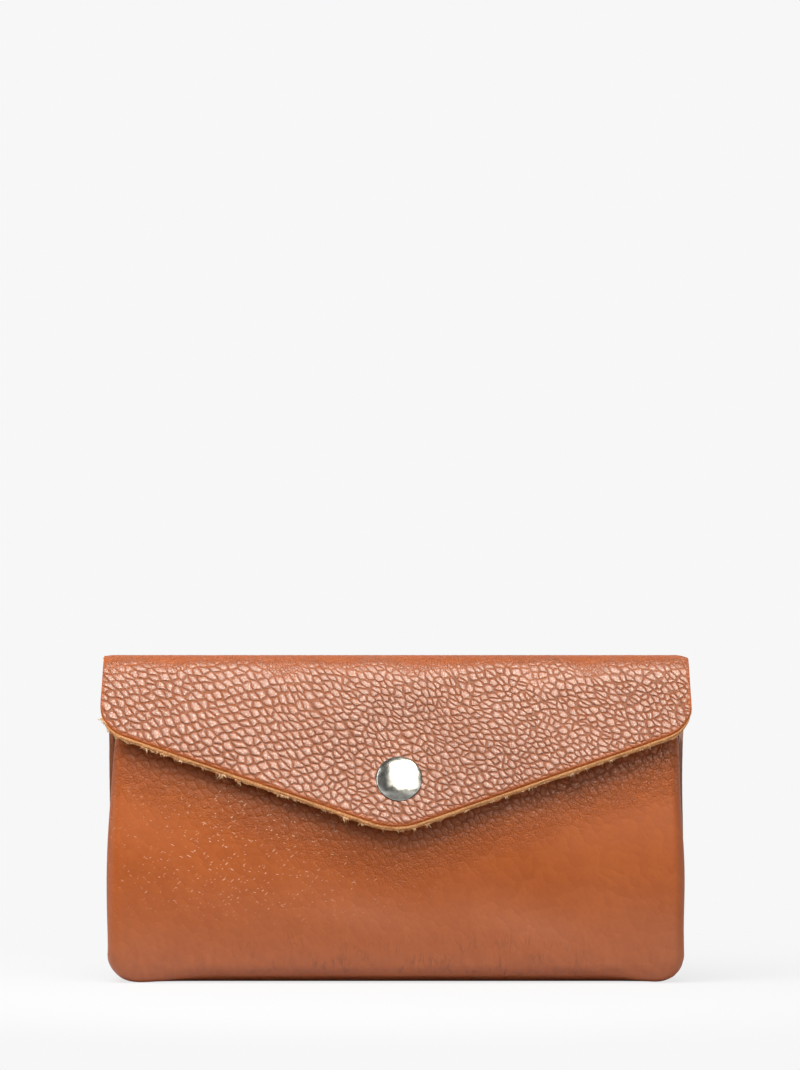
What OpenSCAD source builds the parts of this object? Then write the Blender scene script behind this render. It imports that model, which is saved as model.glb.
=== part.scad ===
// Long envelope wallet in soft grained leather: a flap with a press stud over two gusseted
// compartments, a zipped coin pocket between them, and three tiers of card slots on its front.
// Millimetres. X runs across the width, -Y is the front and +Z is up.
// The origin is the middle of the flat sole that the wallet stands on.

/* [Body] */
// Width of the body over its turned side edges
body_w = 185; // [175:1:195]
// Height of the front panel's top edge
front_h = 95.5; // [90:0.5:105]
// Thickness of the outer leather
leather_t = 1.4; // [1:0.1:1.8]
// Depth of the flat sole from front to back
sole_d = 14; // [12:0.5:16]
// Radius of the bend from the sole into the front and back panels
edge_r = 6; // [5:0.5:7]
// Radius of the bottom corners seen from the front
corner_r = 9; // [8:0.5:12]
// Radius of the turned side edges
side_r = 4; // [3:0.5:5]
// Length of the straight hem behind each turned side edge
hem_l = 2; // [1:0.5:3]
// Height at which the body is thickest
belly_z = 32; // [26:1:38]
// Front panel's distance from the middle plane at its thickest
front_belly = 13.5; // [12.5:0.5:15]
// Front panel's distance from the middle plane at its top edge
front_top = 3.5; // [3:0.25:5]
// Back panel's distance from the middle plane at its thickest
back_belly = 13.2; // [12.6:0.2:14.6]
// Back panel's distance from the middle plane where the top fold starts
back_top = 10.8; // [10:0.2:12]
// How far the face of a panel crowns between its side edges at its thickest
crown = 1.5; // [0.5:0.1:2.5]
// How much narrower the front panel is on each side at its top edge
front_taper = 4; // [2:0.5:5]

/* [Flap] */
// Width of the flap at its widest
flap_w = 190; // [186:1:200]
// Width of the leather over the top fold
fold_w = 188; // [184:1:196]
// Height of the start of the top fold above the front panel's top edge
fold_rise = 1; // [0.5:0.5:4]
// Drop from the top of the fold to the flap's point, before it is rounded
flap_drop = 57; // [52:0.5:64]
// Drop from the top of the fold to the flap's side corners, before they are rounded
shoulder_drop = 24.4; // [20:0.2:28]
// Radius of the flap's side corners
flap_corner_r = 12; // [8:0.5:14]
// Radius of the flap's point
flap_tip_r = 24; // [10:1:40]
// Lean of the flap from upright where it leaves the fold, in degrees
flap_lean = 22; // [18:1:26]
// Room between the front panel's top edge and the flap
fold_gap = 1; // [0.8:0.1:2]
// Turn round the fold, from the back panel, at which the rear bend line lies
rear_bend_a = 40; // [30:1:50]
// Turn round the fold, from the back panel, at which the front bend line lies
front_bend_a = 118; // [100:1:130]

/* [Press stud] */
// Diameter of the polished cap on the flap
cap_d = 15; // [12:0.5:17]
// Height of the cap above the flap
cap_h = 2.3; // [1.8:0.1:3]
// Drop from the top of the fold to the middle of the cap
snap_drop = 40; // [36:0.5:42]
// How far the middle of the cap lies to the right of the wallet's middle
snap_x = 1; // [-3:0.5:3]
// Room that the socket and the stud hold between the flap and the front panel
snap_gap = 3.6; // [3.4:0.1:4.2]
// Thickness of the drawn metal
metal_t = 0.4; // [0.3:0.05:0.5]
// Diameter of the rivet posts through the leather
post_d = 3; // [2.6:0.1:3.2]
// Diameter of the stud's neck
neck_d = 4; // [3.8:0.1:4.4]
// How much wider the stud's head is than its neck, on each side
head_lip = 0.35; // [0.25:0.05:0.4]
// Diameter of the stud's flange on the front panel
stud_flange_d = 10; // [8:0.5:11]
// Diameter of the eyelet's flange inside the front panel
eyelet_flange_d = 8.4; // [7:0.2:10]
// Diameter of the socket
socket_d = 11.6; // [10:0.2:12]
// Wire diameter of the socket's spring ring
spring_wire_d = 0.6; // [0.5:0.05:0.7]

/* [Gussets and coin pocket] */
// Thickness of the gussets and of the coin pocket's walls
wall_t = 0.9; // [0.7:0.1:1.1]
// Depth of the gusset folds, measured from the side of the body
gusset_fold = 14; // [13:0.5:18]
// Drop from the front panel's top edge to the tops of the gussets
gusset_drop = 8; // [6:0.5:12]
// Height of the coin pocket's walls
pocket_h = 76; // [70:0.5:80]
// Room between the coin pocket's walls
pocket_in = 4.4; // [4.2:0.1:5]
// Distance from the side of the body to the side of the coin pocket
pocket_side = 6; // [5:0.5:8]
// Length over which the coin pocket's walls close on each other at its sides and bottom
pocket_taper = 11; // [8:0.5:14]

/* [Card slots] */
// Width of the tiers: one card and its side seams
tier_w = 96; // [92:1:110]
// Thickness of the tiers' leather
tier_t = 0.7; // [0.5:0.1:0.9]
// Height of the turned hem along each tier's mouth
tier_hem = 6; // [4:0.5:8]
// Added thickness of that hem
tier_hem_t = 0.3; // [0.2:0.1:0.4]
// Height of the tiers' bottom seam
tier_z = 15; // [14:0.5:18]
// Drop from the coin pocket's top edge to the top tier's mouth
tier_drop = 4; // [3:0.5:8]
// Step down from one tier's mouth to the next
tier_step = 10; // [8:0.5:14]

/* [Zip] */
// Height of the chain of teeth above the pocket's top edge
zip_rise = 4; // [3:0.5:5]
// Length of the tapes beyond the chain's open end
tape_end = 6; // [5:0.5:10]
// Distance from the tapes' shut end to the middle of the slider when the zip is shut
slider_end = 10; // [8:0.5:14]
// Pitch of the teeth along one side
tooth_pitch = 2.4; // [2.2:0.1:3]
// Width of one tooth
tooth_w = 0.9; // [0.6:0.05:0.95]
// Height of the teeth
tooth_h = 1.3; // [1:0.1:1.5]
// Depth of the row that carries the teeth
tooth_row = 0.55; // [0.4:0.05:0.6]
// Half the room between the two rows that carry the teeth
row_half = 0.75; // [0.7:0.05:0.85]
// Thickness of the tapes
tape_t = 0.5; // [0.4:0.05:0.6]
// Height of the tapes below the chain
tape_l = 12; // [9:0.5:16]
// Length of the slider
slider_l = 9; // [8:0.5:10]
// Width of the slider over its top plate
slider_w = 5.6; // [5:0.1:6]
// Thickness of the slider's plates
slider_t = 0.8; // [0.6:0.1:1]
// Length of the pull from its pivot to its end
pull_l = 17; // [13:0.5:18]
// Width of the pull's tab
pull_w = 5; // [4:0.5:6]
// Thickness of the pull
pull_t = 0.9; // [0.7:0.1:1]

/* [Clearances] */
// Room between leather pieces at a bend line
bend_gap = 0.3; // [0.2:0.05:0.5]
// Room between a sewn edge and the leather that it lies on
seam_gap = 0.25; // [0.2:0.05:0.35]
// Room between sheets that lie flat on each other
sheet_gap = 0.1; // [0.05:0.05:0.15]
// Room between metal pieces that run on each other
run_gap = 0.2; // [0.15:0.05:0.25]
// Room round a rivet post in its hole
post_gap = 0.1; // [0.05:0.05:0.15]

/* [Hidden] */
$fn = 64;
leather_colour = "#b9683c";
inside_colour = "#a8683f";
metal_colour = "#c9c8c2";
tape_colour = "#8c5433";

// Leather profile, seen from the side
foot = sole_d / 2 + edge_r;
fold_z = front_h + fold_rise;
fold_r = (back_top + front_top + fold_gap + leather_t) / 2;
fold_y = (back_top - front_top - fold_gap - leather_t) / 2;
top_z = fold_z + fold_r;
bend_half_a = bend_gap / 2 / fold_r * 180 / PI;

// The back panel's turned edges open out over this height below the fold, to this last turn
unroll_l = 21;
open_turn = 10;

// Places of the press stud: the middle of a flat patch on the front panel
seat = cap_d / 2 + 1;
snap_z = top_z - snap_drop;

// Coin pocket and zip
zip_z = pocket_h + zip_rise;
pocket_half = pocket_in / 2 + wall_t;
pocket_edge = wall_t + bend_gap;
pocket_hw = body_w / 2 - pocket_side;
pocket_z = leather_t + bend_gap;
tape_half = pocket_hw - wall_t - pocket_taper - seam_gap;
zip_half = tape_half - tape_end;
slider_x = tape_half - slider_end;
chain_end = slider_x + slider_l / 6;
pivot_x = -slider_l / 10;
pull_r = pull_t / 2 + sheet_gap;
plate_z = tooth_h / 2 + run_gap;
pivot_z = plate_z + slider_t + run_gap + pull_r;

// Distance of a panel's outer face from the middle plane over the bend beside the sole
function bend_d(z, inset = 0) =
    foot - edge_r + sqrt(max(0, pow(edge_r - inset, 2) - pow(max(0, edge_r - z), 2)));

// The same up to the thickest height
function lower_d(z, belly) = belly - (belly - foot) * pow((belly_z - z) / (belly_z - edge_r), 2);

// Outer face of the front panel: a quarter wave from the thickest height to the top edge
function front_d(z) =
    z < edge_r ? bend_d(z)
    : z < belly_z ? lower_d(z, front_belly)
    : front_top + (front_belly - front_top) * cos(90 * (z - belly_z) / (front_h - belly_z));

// Outer face of the back panel: half a wave, upright again where the fold starts
function back_d(z) =
    z < edge_r ? bend_d(z)
    : z < belly_z ? lower_d(z, back_belly)
    : back_top + (back_belly - back_top) * (1 + cos(180 * (z - belly_z) / (fold_z - belly_z))) / 2;

// Crown of each panel, which fades to nothing at the top
function front_crown(z) = crown * (front_d(z) - front_top) / (front_belly - front_top);
function back_crown(z) = crown * (back_d(z) - back_top) / (back_belly - back_top);

// Half the body's width, with its rounded bottom corners
function half_w(z, inset = 0) =
    body_w / 2 - corner_r + sqrt(max(0, pow(corner_r - inset, 2) - pow(max(0, corner_r - z), 2)));
function front_half_w(z) =
    half_w(z) - front_taper * pow(max(0, z - belly_z) / (front_h - belly_z), 2);

// A point on the leather's outer profile and its outward normal, both in the YZ plane
slope_step = 0.25;
function front_slope(z) = (front_d(z + slope_step) - front_d(z)) / slope_step;
function back_slope(z) = (back_d(z + slope_step) - back_d(z)) / slope_step;
function unit(v) = v / norm(v);
function front_frame(z) = [[-front_d(z), z], unit([-1, -front_slope(z)])];
function back_frame(z) = [[back_d(z), z], unit([1, -back_slope(z)])];
function fold_frame(a) = [[fold_y + fold_r * cos(a), fold_z + fold_r * sin(a)], [cos(a), sin(a)]];

// Flat seat of the press stud on the front panel
seat_low = front_frame(snap_z - seat)[0];
seat_high = front_frame(snap_z + seat)[0];
seat_mid = (seat_low + seat_high) / 2;
seat_up = unit(seat_high - seat_low);
seat_out = [-seat_up[1], seat_up[0]];
snap_tilt = asin(seat_up[0]);
flap_seat = seat_mid + (snap_gap + leather_t) * seat_out;

// Middle plane of the coin pocket: halfway between the panels at the zip
pocket_y = (back_d(zip_z) - front_d(zip_z)) / 2;

function reversed(list) = [for (i = [len(list) - 1:-1:0]) list[i]];

// Right half of a panel's section as [x, height over the face]: face, turned edge, hem.
// The inner side of the leather has the same path at a smaller bend radius.
face_steps = [0.1, 0.45, 0.75];
turn_steps = 4;
function half_section(hw, turn, hem, crown_h, inset) =
    let (flat = hw - side_r * sin(turn) - hem * cos(turn))
    let (r = side_r - inset)
    concat(
        [for (u = face_steps)
            [u * flat, -inset - crown_h * pow((u - face_steps[0]) / (1 - face_steps[0]), 2)]],
        [for (i = [0:turn_steps])
            let (a = turn * i / turn_steps)
            [flat + r * sin(a), -crown_h - side_r + r * cos(a)]],
        hem > 0 ? [[flat + r * sin(turn) + hem * cos(turn),
            -crown_h - side_r + r * cos(turn) - hem * sin(turn)]] : []
    );
function section_path(half) = concat([for (p = reversed(half)) [-p[0], p[1]]], half);

// One ring of leather on a profile frame: the outer path and then the inner one, backwards
function on_frame(frame, path) =
    [for (p = path) [p[0], frame[0][0] + p[1] * frame[1][0], frame[0][1] + p[1] * frame[1][1]]];
function leather_ring(frame, hw, turn, crown_h) = concat(
    on_frame(frame, section_path(half_section(hw, turn, hem_l, crown_h, 0))),
    reversed(on_frame(frame, section_path(half_section(hw, turn, hem_l, crown_h, leather_t))))
);

// Skin of a loft between rings of equal point count
function skin_faces(rings) =
    let (n = len(rings[0]))
    [for (i = [0:len(rings) - 2], j = [0:n - 1])
        let (a = i * n + j)
        let (b = i * n + (j + 1) % n)
        each [[a, b, b + n], [a, b + n, a + n]]];

// Ends of a sheet, whose ring is a path out and the same path back
function sheet_end(n, first, turned) =
    [for (j = [0:n / 2 - 2])
        let (a = first + j)
        let (b = first + n - 1 - j)
        each turned ? [[a, b - 1, a + 1], [a, b, b - 1]] : [[a, a + 1, b - 1], [a, b - 1, b]]];
module sheet_loft(rings, flip) {
    n = len(rings[0]);
    last = (len(rings) - 1) * n;
    faces = concat(skin_faces(rings), sheet_end(n, 0, true), sheet_end(n, last, false));
    polyhedron([for (r = rings) each r], [for (f = faces) flip ? reversed(f) : f], convexity = 8);
}

// Ends of a solid whose ring is convex: a fan from the first point
function fan(n, first, turned) =
    [for (j = [1:n - 2]) turned ? [first, first + j + 1, first + j] : [first, first + j, first + j + 1]];

module solid_loft(rings) {
    n = len(rings[0]);
    last = (len(rings) - 1) * n;
    faces = concat(skin_faces(rings), fan(n, 0, true), fan(n, last, false));
    polyhedron([for (r = rings) each r], [for (f = faces) reversed(f)], convexity = 4);
}

// Prisms along X from a YZ outline, and along Y from an XZ outline
module prism_x(outline, length) {
    rotate([90, 0, 90]) linear_extrude(length, center = true) polygon(outline);
}
module prism_y(outline, length) {
    rotate([90, 0, 0]) linear_extrude(length, center = true) polygon(outline);
}

// A strip of leather along the frames of its profile, as a YZ outline
function strip(frames, thickness) = concat(
    [for (f = frames) f[0]],
    reversed([for (f = frames) f[0] - thickness * f[1]])
);

// Frame of the press stud: local Z points out of the flap, zero on the front panel
module at_snap() {
    translate([snap_x, seat_mid[0], seat_mid[1]]) rotate([90 - snap_tilt, 0, 0]) children();
}
module post_hole() {
    at_snap() cylinder(d = post_d + 2 * post_gap, h = 4 * cap_z, center = true);
}

// Back panel, whose turned side edges open out flat towards the fold
unroll_z = fold_z - unroll_l;
function unrolled(z) = (1 - cos(180 * max(0, z - unroll_z) / unroll_l)) / 2;
function back_turn(z) = 90 - (90 - open_turn) * unrolled(z);
function back_half_w(z) = half_w(z) + (fold_w / 2 - half_w(z)) * unrolled(z);
back_heights = concat(
    [for (i = [0:6]) edge_r + sheet_gap + (unroll_z - edge_r - sheet_gap) * i / 6],
    [for (i = [1:6]) unroll_z + unroll_l * i / 6]
);
module back_panel() {
    walls = [for (z = back_heights) leather_ring(back_frame(z), back_half_w(z), back_turn(z), back_crown(z))];
    bend = [for (i = [1:3])
        leather_ring(fold_frame((rear_bend_a - bend_half_a) * i / 3), fold_w / 2, open_turn, 0)];
    color(leather_colour) sheet_loft(concat(walls, bend), false);
}

// Base: a shallow boat of leather, turned up all round to meet the panels and the gussets
base_steps = 5;
function boat_path(z, inset) =
    let (hw = half_w(z, inset) + inset)
    let (front = section_path(half_section(hw, 90, 0, front_crown(z), inset)))
    let (rear = section_path(half_section(hw, 90, 0, back_crown(z), inset)))
    let (d = bend_d(z, inset) + inset)
    concat([for (p = front) [p[0], -d - p[1], z]], [for (p = reversed(rear)) [p[0], d + p[1], z]]);
function boat_heights(low) = [for (i = [0:base_steps]) low + (edge_r - low) * (1 - cos(90 * i / base_steps))];
module base_panel() {
    outer = [for (z = boat_heights(0)) boat_path(z, 0)];
    inner = [for (z = boat_heights(leather_t)) boat_path(z, leather_t)];
    rim = [for (p = inner[base_steps]) p + [0, 0, leather_t]];
    color(leather_colour) difference() {
        solid_loft(outer);
        solid_loft(concat(inner, [rim]));
    }
}

// Front panel, with a flat patch under the press stud
front_low = edge_r + bend_gap;
front_heights = concat(
    [for (i = [0:5]) front_low + (snap_z - seat - front_low) * i / 5],
    [for (i = [0:2]) snap_z + seat + (front_h - snap_z - seat) * i / 2]
);
module front_panel() {
    rings = [for (z = front_heights) leather_ring(front_frame(z), front_half_w(z), 90, front_crown(z))];
    color(leather_colour) difference() {
        sheet_loft(rings, true);
        post_hole();
    }
}

// Strip over the top, between the two bend lines
module flap_fold() {
    first = rear_bend_a + bend_half_a;
    last = front_bend_a - bend_half_a;
    frames = [for (i = [0:6]) fold_frame(first + (last - first) * i / 6)];
    color(leather_colour) prism_x(strip(frames, leather_t), fold_w);
}

// Side profile of the flap: the rest of the fold, a sweep to the press stud, then straight
fold_end = fold_frame(180 - flap_lean)[0];
fold_end_dir = [-sin(flap_lean), -cos(flap_lean)];
sweep_end = flap_seat + seat * seat_up;
sweep_pull = norm(sweep_end - fold_end) / 3;
function sweep_point(t) =
    pow(1 - t, 3) * fold_end
    + 3 * t * pow(1 - t, 2) * (fold_end + sweep_pull * fold_end_dir)
    + 3 * t * t * (1 - t) * (sweep_end + sweep_pull * seat_up)
    + pow(t, 3) * sweep_end;
sweep_step = 0.01;
function sweep_dir(t) = unit(sweep_point(t + sweep_step) - sweep_point(t - sweep_step));
function sweep_frame(t) = let (d = sweep_dir(t)) [sweep_point(t), [d[1], -d[0]]];
flap_frames = concat(
    [for (i = [0:4])
        fold_frame(front_bend_a + bend_half_a + (180 - flap_lean - front_bend_a - bend_half_a) * i / 4)],
    [for (i = [1:5]) sweep_frame(i / 6)],
    [[sweep_end, seat_out], [flap_seat - flap_drop * seat_up, seat_out]]
);

// Cut of the flap seen from the front: straight sides, rounded corners and a rounded point
corner_z = top_z - shoulder_drop;
point_z = top_z - flap_drop;
edge_a = atan((corner_z - point_z) / (flap_w / 2));
corner_mid = [flap_w / 2 - flap_corner_r, corner_z + flap_corner_r * tan((90 - edge_a) / 2)];
function arc(mid, r, first, last, steps) =
    [for (i = [0:steps]) let (a = first + (last - first) * i / steps) mid + r * [cos(a), sin(a)]];
flap_outline = concat(
    [[fold_w / 2, top_z + leather_t]],
    arc(corner_mid, flap_corner_r, 0, edge_a - 90, 8),
    arc([0, point_z + flap_tip_r / cos(edge_a)], flap_tip_r, edge_a - 90, -90 - edge_a, 6),
    arc([-corner_mid[0], corner_mid[1]], flap_corner_r, -90 - edge_a, -180, 8),
    [[-fold_w / 2, top_z + leather_t]]
);
module flap() {
    color(leather_colour) difference() {
        intersection() {
            prism_x(strip(flap_frames, leather_t), 2 * flap_w);
            prism_y(flap_outline, 2 * flap_w);
        }
        post_hole();
    }
}

// Gussets: one V fold a side in each compartment, from a panel's side to the pocket's side
gusset_x = body_w / 2 - gusset_fold;
gusset_pocket_x = pocket_hw - wall_t;
gusset_low = edge_r + 2 * bend_gap;
gusset_high = front_h - gusset_drop;
gusset_steps = 6;
function pocket_d(x) = pocket_edge + (pocket_half - pocket_edge) * min(1, (pocket_hw - x) / pocket_taper);
function panel_in(z, front) = leather_t + seam_gap + (front ? front_crown(z) : back_crown(z));
function gusset_ring(z, front) =
    let (s = front ? -1 : 1)
    let (ax = (front ? front_half_w(z) : half_w(z)) - side_r - seam_gap)
    let (ay = s * ((front ? front_d(z) : back_d(z)) - panel_in(z, front)))
    let (by = pocket_y + s * (pocket_d(gusset_pocket_x) + seam_gap))
    let (vy = (ay + pocket_y + s * pocket_half) / 2)
    let (crotch = wall_t * norm([ax - gusset_x, ay - vy]) / abs(ay - vy))
    concat(
        [[ax, ay, z], [gusset_x, vy, z], [gusset_pocket_x, by, z]],
        [[gusset_pocket_x, by + s * wall_t, z], [gusset_x + crotch, vy, z], [ax, ay - s * wall_t, z]]
    );
module gusset(front) {
    rings = [for (i = [0:gusset_steps])
        gusset_ring(gusset_low + (gusset_high - gusset_low) * i / gusset_steps, front)];
    color(inside_colour) sheet_loft(rings, front);
}
module gusset_rear_right() gusset(false);
module gusset_rear_left() mirror([1, 0, 0]) gusset(false);
module gusset_front_right() gusset(true);
module gusset_front_left() mirror([1, 0, 0]) gusset(true);

// Coin pocket: a flat pillow, closed at its sides and bottom and open under the zip
module pocket_pillow(inset, top) {
    edge = pocket_edge - inset;
    half = pocket_half - inset;
    side = pocket_hw - inset;
    low = pocket_z + inset;
    profile = [[-edge, low], [-half, low + pocket_taper], [-half, top],
        [half, top], [half, low + pocket_taper], [edge, low]];
    plan = [[-side, -edge], [-side + pocket_taper, -half], [side - pocket_taper, -half], [side, -edge],
        [side, edge], [side - pocket_taper, half], [-side + pocket_taper, half], [-side, edge]];
    round_r = corner_r - inset;
    outline = concat(
        arc([side - round_r, low + round_r], round_r, 0, -90, 6),
        arc([-side + round_r, low + round_r], round_r, -90, -180, 6),
        [[-side, top], [side, top]]
    );
    intersection() {
        prism_x(profile, body_w);
        translate([0, 0, low]) linear_extrude(top - low) polygon(plan);
        prism_y(outline, body_w);
    }
}
module pocket_wall(s) {
    color(inside_colour) translate([0, pocket_y, 0]) intersection() {
        difference() {
            pocket_pillow(0, pocket_h);
            pocket_pillow(wall_t, pocket_h + wall_t);
        }
        translate([0, s * (pocket_half + sheet_gap / 2), pocket_h / 2])
            cube([body_w, 2 * pocket_half, 2 * pocket_h], center = true);
    }
}
module pocket_front_wall() pocket_wall(-1);
module pocket_back_wall() pocket_wall(1);

// Card slots: tiers that lie on each other on the pocket's front wall, each with a turned hem
module card_tier(row) {
    mouth = pocket_h - tier_drop - row * tier_step;
    back = pocket_y - pocket_half - sheet_gap - row * (tier_t + sheet_gap);
    face = back - tier_t;
    profile = [[back, tier_z], [face, tier_z], [face, mouth - tier_hem],
        [face - tier_hem_t, mouth - tier_hem], [face - tier_hem_t, mouth], [back, mouth]];
    color(inside_colour) prism_x(profile, tier_w);
}
module card_tier_top() card_tier(0);
module card_tier_middle() card_tier(1);
module card_tier_bottom() card_tier(2);

// Zip: all its pieces are drawn round the middle of the chain
module at_zip(x = 0) {
    translate([x, pocket_y, zip_z]) children();
}
row_back = row_half + tooth_row;
module zip_tape(s) {
    out = pocket_in / 2 - sheet_gap / 2;
    bead = row_back + sheet_gap / 2;
    profile = [[-out, -tape_l], [-out + tape_t, -tape_l], [-out + tape_t, -tape_t / 2],
        [-bead, -tape_t / 2], [-bead, tape_t / 2], [-out, tape_t / 2]];
    color(tape_colour) at_zip() rotate([0, 0, s > 0 ? 180 : 0])
        prism_x(profile, 2 * tape_half);
}
module zip_tape_front() zip_tape(-1);
module zip_tape_back() zip_tape(1);

// A row of teeth as one comb; the other row's teeth lie in its gaps
tooth_tip = row_half - run_gap;
module zip_teeth(s) {
    shift = s > 0 ? tooth_pitch / 2 : 0;
    first = -zip_half + tooth_pitch / 2;
    count = floor((chain_end - first - tooth_pitch) / tooth_pitch);
    teeth = [for (i = [0:count])
        let (x = first + shift + i * tooth_pitch)
        each [[x - tooth_w / 2, -row_half], [x - tooth_w / 2, tooth_tip],
            [x + tooth_w / 2, tooth_tip], [x + tooth_w / 2, -row_half]]];
    comb = concat([[-zip_half, -row_back], [-zip_half, -row_half]], teeth,
        [[chain_end, -row_half], [chain_end, -row_back]]);
    color(metal_colour) at_zip() mirror([0, s > 0 ? 1 : 0, 0])
        linear_extrude(tooth_h, center = true) polygon(comb);
}
module zip_teeth_front() zip_teeth(-1);
module zip_teeth_back() zip_teeth(1);

// Two clamped stops where the zip shuts, and one across the chain where it opens
stop_l = 1.6;
module zip_top_stops() {
    color(metal_colour) for (s = [-1, 1])
        at_zip(chain_end + run_gap + stop_l / 2)
            translate([0, s * (row_half + row_back) / 2, 0])
                cube([stop_l, tooth_row, tooth_h], center = true);
}
module zip_bottom_stop() {
    color(metal_colour) at_zip(-zip_half - run_gap - stop_l / 2)
        cube([stop_l, 2 * row_back, tooth_h], center = true);
}

// Slider: a shield-shaped top plate and a narrow lower one, joined by the wedge that parts the
// teeth, with a bridge for the pull
tail_share = 0.68;
nose_share = 0.57;
shoulder_share = 0.7;
module slider_plate(half, z) {
    tail = tail_share * half;
    nose = nose_share * half;
    shoulder = shoulder_share * slider_l / 2;
    outline = [[-slider_l / 2, -tail], [shoulder / 3, -half], [shoulder, -half], [slider_l / 2, -nose],
        [slider_l / 2, nose], [shoulder, half], [shoulder / 3, half], [-slider_l / 2, tail]];
    translate([0, 0, z]) linear_extrude(slider_t) polygon(outline);
}
bridge_w = 1.6;
module slider_bridge() {
    reach = pull_r + 3 * run_gap;
    rise = 2 * (pull_r + run_gap);
    wall = slider_t + run_gap;
    foot_out = reach + wall + run_gap;
    base = plate_z + slider_t;
    translate([pivot_x, 0, 0]) difference() {
        prism_y([[-foot_out, base - slider_t / 2], [foot_out, base - slider_t / 2],
            [reach, base + rise + wall], [-reach, base + rise + wall]], bridge_w);
        prism_y([[-reach, base], [reach, base], [reach - run_gap, base + rise],
            [-reach + run_gap, base + rise]], 2 * bridge_w);
    }
}
module zip_slider() {
    wedge_l = 1.6;
    wedge_w = 2 * (row_half - run_gap);
    under_half = pocket_in / 2 - sheet_gap / 2 - tape_t - run_gap;
    color(metal_colour) at_zip(slider_x) {
        slider_plate(slider_w / 2, plate_z);
        slider_plate(under_half, -plate_z - slider_t);
        translate([slider_l / 2 - wedge_l, 0, 0])
            cube([wedge_l, wedge_w, 2 * plate_z + slider_t], center = true);
        slider_bridge();
    }
}

// Pull: a round bar under the bridge, two arms beside it, and a tab with an eye
module zip_pull() {
    arm_w = 0.6;
    arm_y = bridge_w / 2 + run_gap + arm_w / 2;
    bar_l = 2 * arm_y + arm_w;
    arm_l = slider_l / 2;
    end_r = pull_w / 2;
    eye_d = 2.4;
    color(metal_colour) at_zip(slider_x) translate([pivot_x, 0, pivot_z]) {
        rotate([90, 0, 0]) cylinder(r = pull_r, h = bar_l, center = true);
        for (s = [-1, 1])
            translate([-arm_l / 2, s * arm_y, 0]) cube([arm_l, arm_w, pull_t], center = true);
        linear_extrude(pull_t, center = true) difference() {
            union() {
                translate([-pull_l + end_r, -end_r]) square([pull_l - end_r - arm_l + arm_w, pull_w]);
                translate([-pull_l + end_r, 0]) circle(end_r);
            }
            translate([-pull_l + end_r, 0]) circle(d = eye_d);
        }
    }
}

// Press stud. Heights are along its axis: zero is the front panel's face, cap_z the flap's face
cap_z = snap_gap + leather_t;
rim_h = 0.7;
dome_r = (pow(cap_d / 2, 2) + pow(cap_h - rim_h, 2)) / (2 * (cap_h - rim_h));
function dome_z(r) = cap_z + cap_h - dome_r + sqrt(pow(dome_r, 2) - r * r);
post_r = post_d / 2;
flare_h = 0.25;
flare_lip = 0.7;
flare_r = post_r + flare_lip;
web_z = snap_gap - metal_t;
dome_steps = 6;

// Cap: a domed shell with a rolled rim, and a post that is flared inside the socket
module snap_cap() {
    rim_r = cap_d / 2;
    shell_r = rim_r - 1.5 * metal_t;
    outer = [for (i = [0:dome_steps]) let (r = rim_r * i / dome_steps) [r, dome_z(r)]];
    inner = [for (i = [0:dome_steps])
        let (r = shell_r + (post_r - shell_r) * i / dome_steps)
        [r, dome_z(r) - metal_t]];
    color(metal_colour) at_snap() rotate_extrude() polygon(concat(
        outer,
        [[rim_r, cap_z + metal_t / 2], [rim_r - metal_t / 2, cap_z], [shell_r, cap_z]],
        inner,
        [[post_r, web_z], [flare_r, web_z], [flare_r, web_z - flare_h], [0, web_z - flare_h]]
    ));
}

// Stud: a hollow head on a flange
neck_r = neck_d / 2;
head_r = neck_r + head_lip;
head_h = 0.7;
head_top = web_z - 2 * flare_h;
head_z = head_top - head_h;
module snap_stud() {
    bore_r = post_r + post_gap / 2;
    color(metal_colour) at_snap() rotate_extrude() polygon([
        [bore_r, 0], [stud_flange_d / 2, 0], [stud_flange_d / 2, metal_t / 2], [neck_r + metal_t, metal_t],
        [neck_r, 2 * metal_t], [neck_r, head_z - head_lip], [head_r, head_z], [head_r, head_z + metal_t / 2],
        [neck_r, head_top], [0, head_top], [0, head_top - metal_t], [bore_r, head_top - metal_t]
    ]);
}

// Eyelet: a flange inside the front panel and a tube up into the stud
module snap_eyelet() {
    flange_r = eyelet_flange_d / 2;
    back = -leather_t - metal_t;
    tube_top = head_top - 2 * metal_t;
    color(metal_colour) at_snap() rotate_extrude() polygon([
        [post_r - metal_t, back], [flange_r - metal_t / 2, back], [flange_r, back + metal_t / 2],
        [flange_r, -leather_t], [post_r, -leather_t], [post_r, tube_top], [post_r - metal_t, tube_top]
    ]);
}

// Spring ring: a split ring of wire that grips the stud's neck under its head
ring_gap = 0.15;
ring_turn = 320;
ring_r = neck_r + ring_gap + spring_wire_d / 2;
ring_z = 2 * metal_t + spring_wire_d / 2 + ring_gap;
module snap_spring() {
    color(metal_colour) at_snap() translate([0, 0, ring_z])
        rotate_extrude(angle = ring_turn) translate([ring_r, 0]) circle(d = spring_wire_d);
}

// Socket: a drawn cup on the flap's inner face, grooved for the spring ring
module snap_socket() {
    out_r = socket_d / 2;
    low = metal_t + run_gap;
    groove_r = ring_r + spring_wire_d / 2 + ring_gap;
    groove_low = ring_z - spring_wire_d / 2 - ring_gap / 2;
    groove_high = ring_z + spring_wire_d / 2 + ring_gap / 2;
    mouth_r = head_r + run_gap;
    hole_r = post_r + post_gap / 2;
    color(metal_colour) at_snap() rotate_extrude() polygon([
        [hole_r, snap_gap], [out_r - metal_t, snap_gap], [out_r, snap_gap - metal_t], [out_r, low + metal_t],
        [out_r - metal_t, low], [mouth_r, low], [mouth_r, groove_low], [groove_r, groove_low],
        [groove_r, groove_high], [mouth_r, groove_high], [mouth_r, web_z], [hole_r, web_z]
    ]);
}

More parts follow.
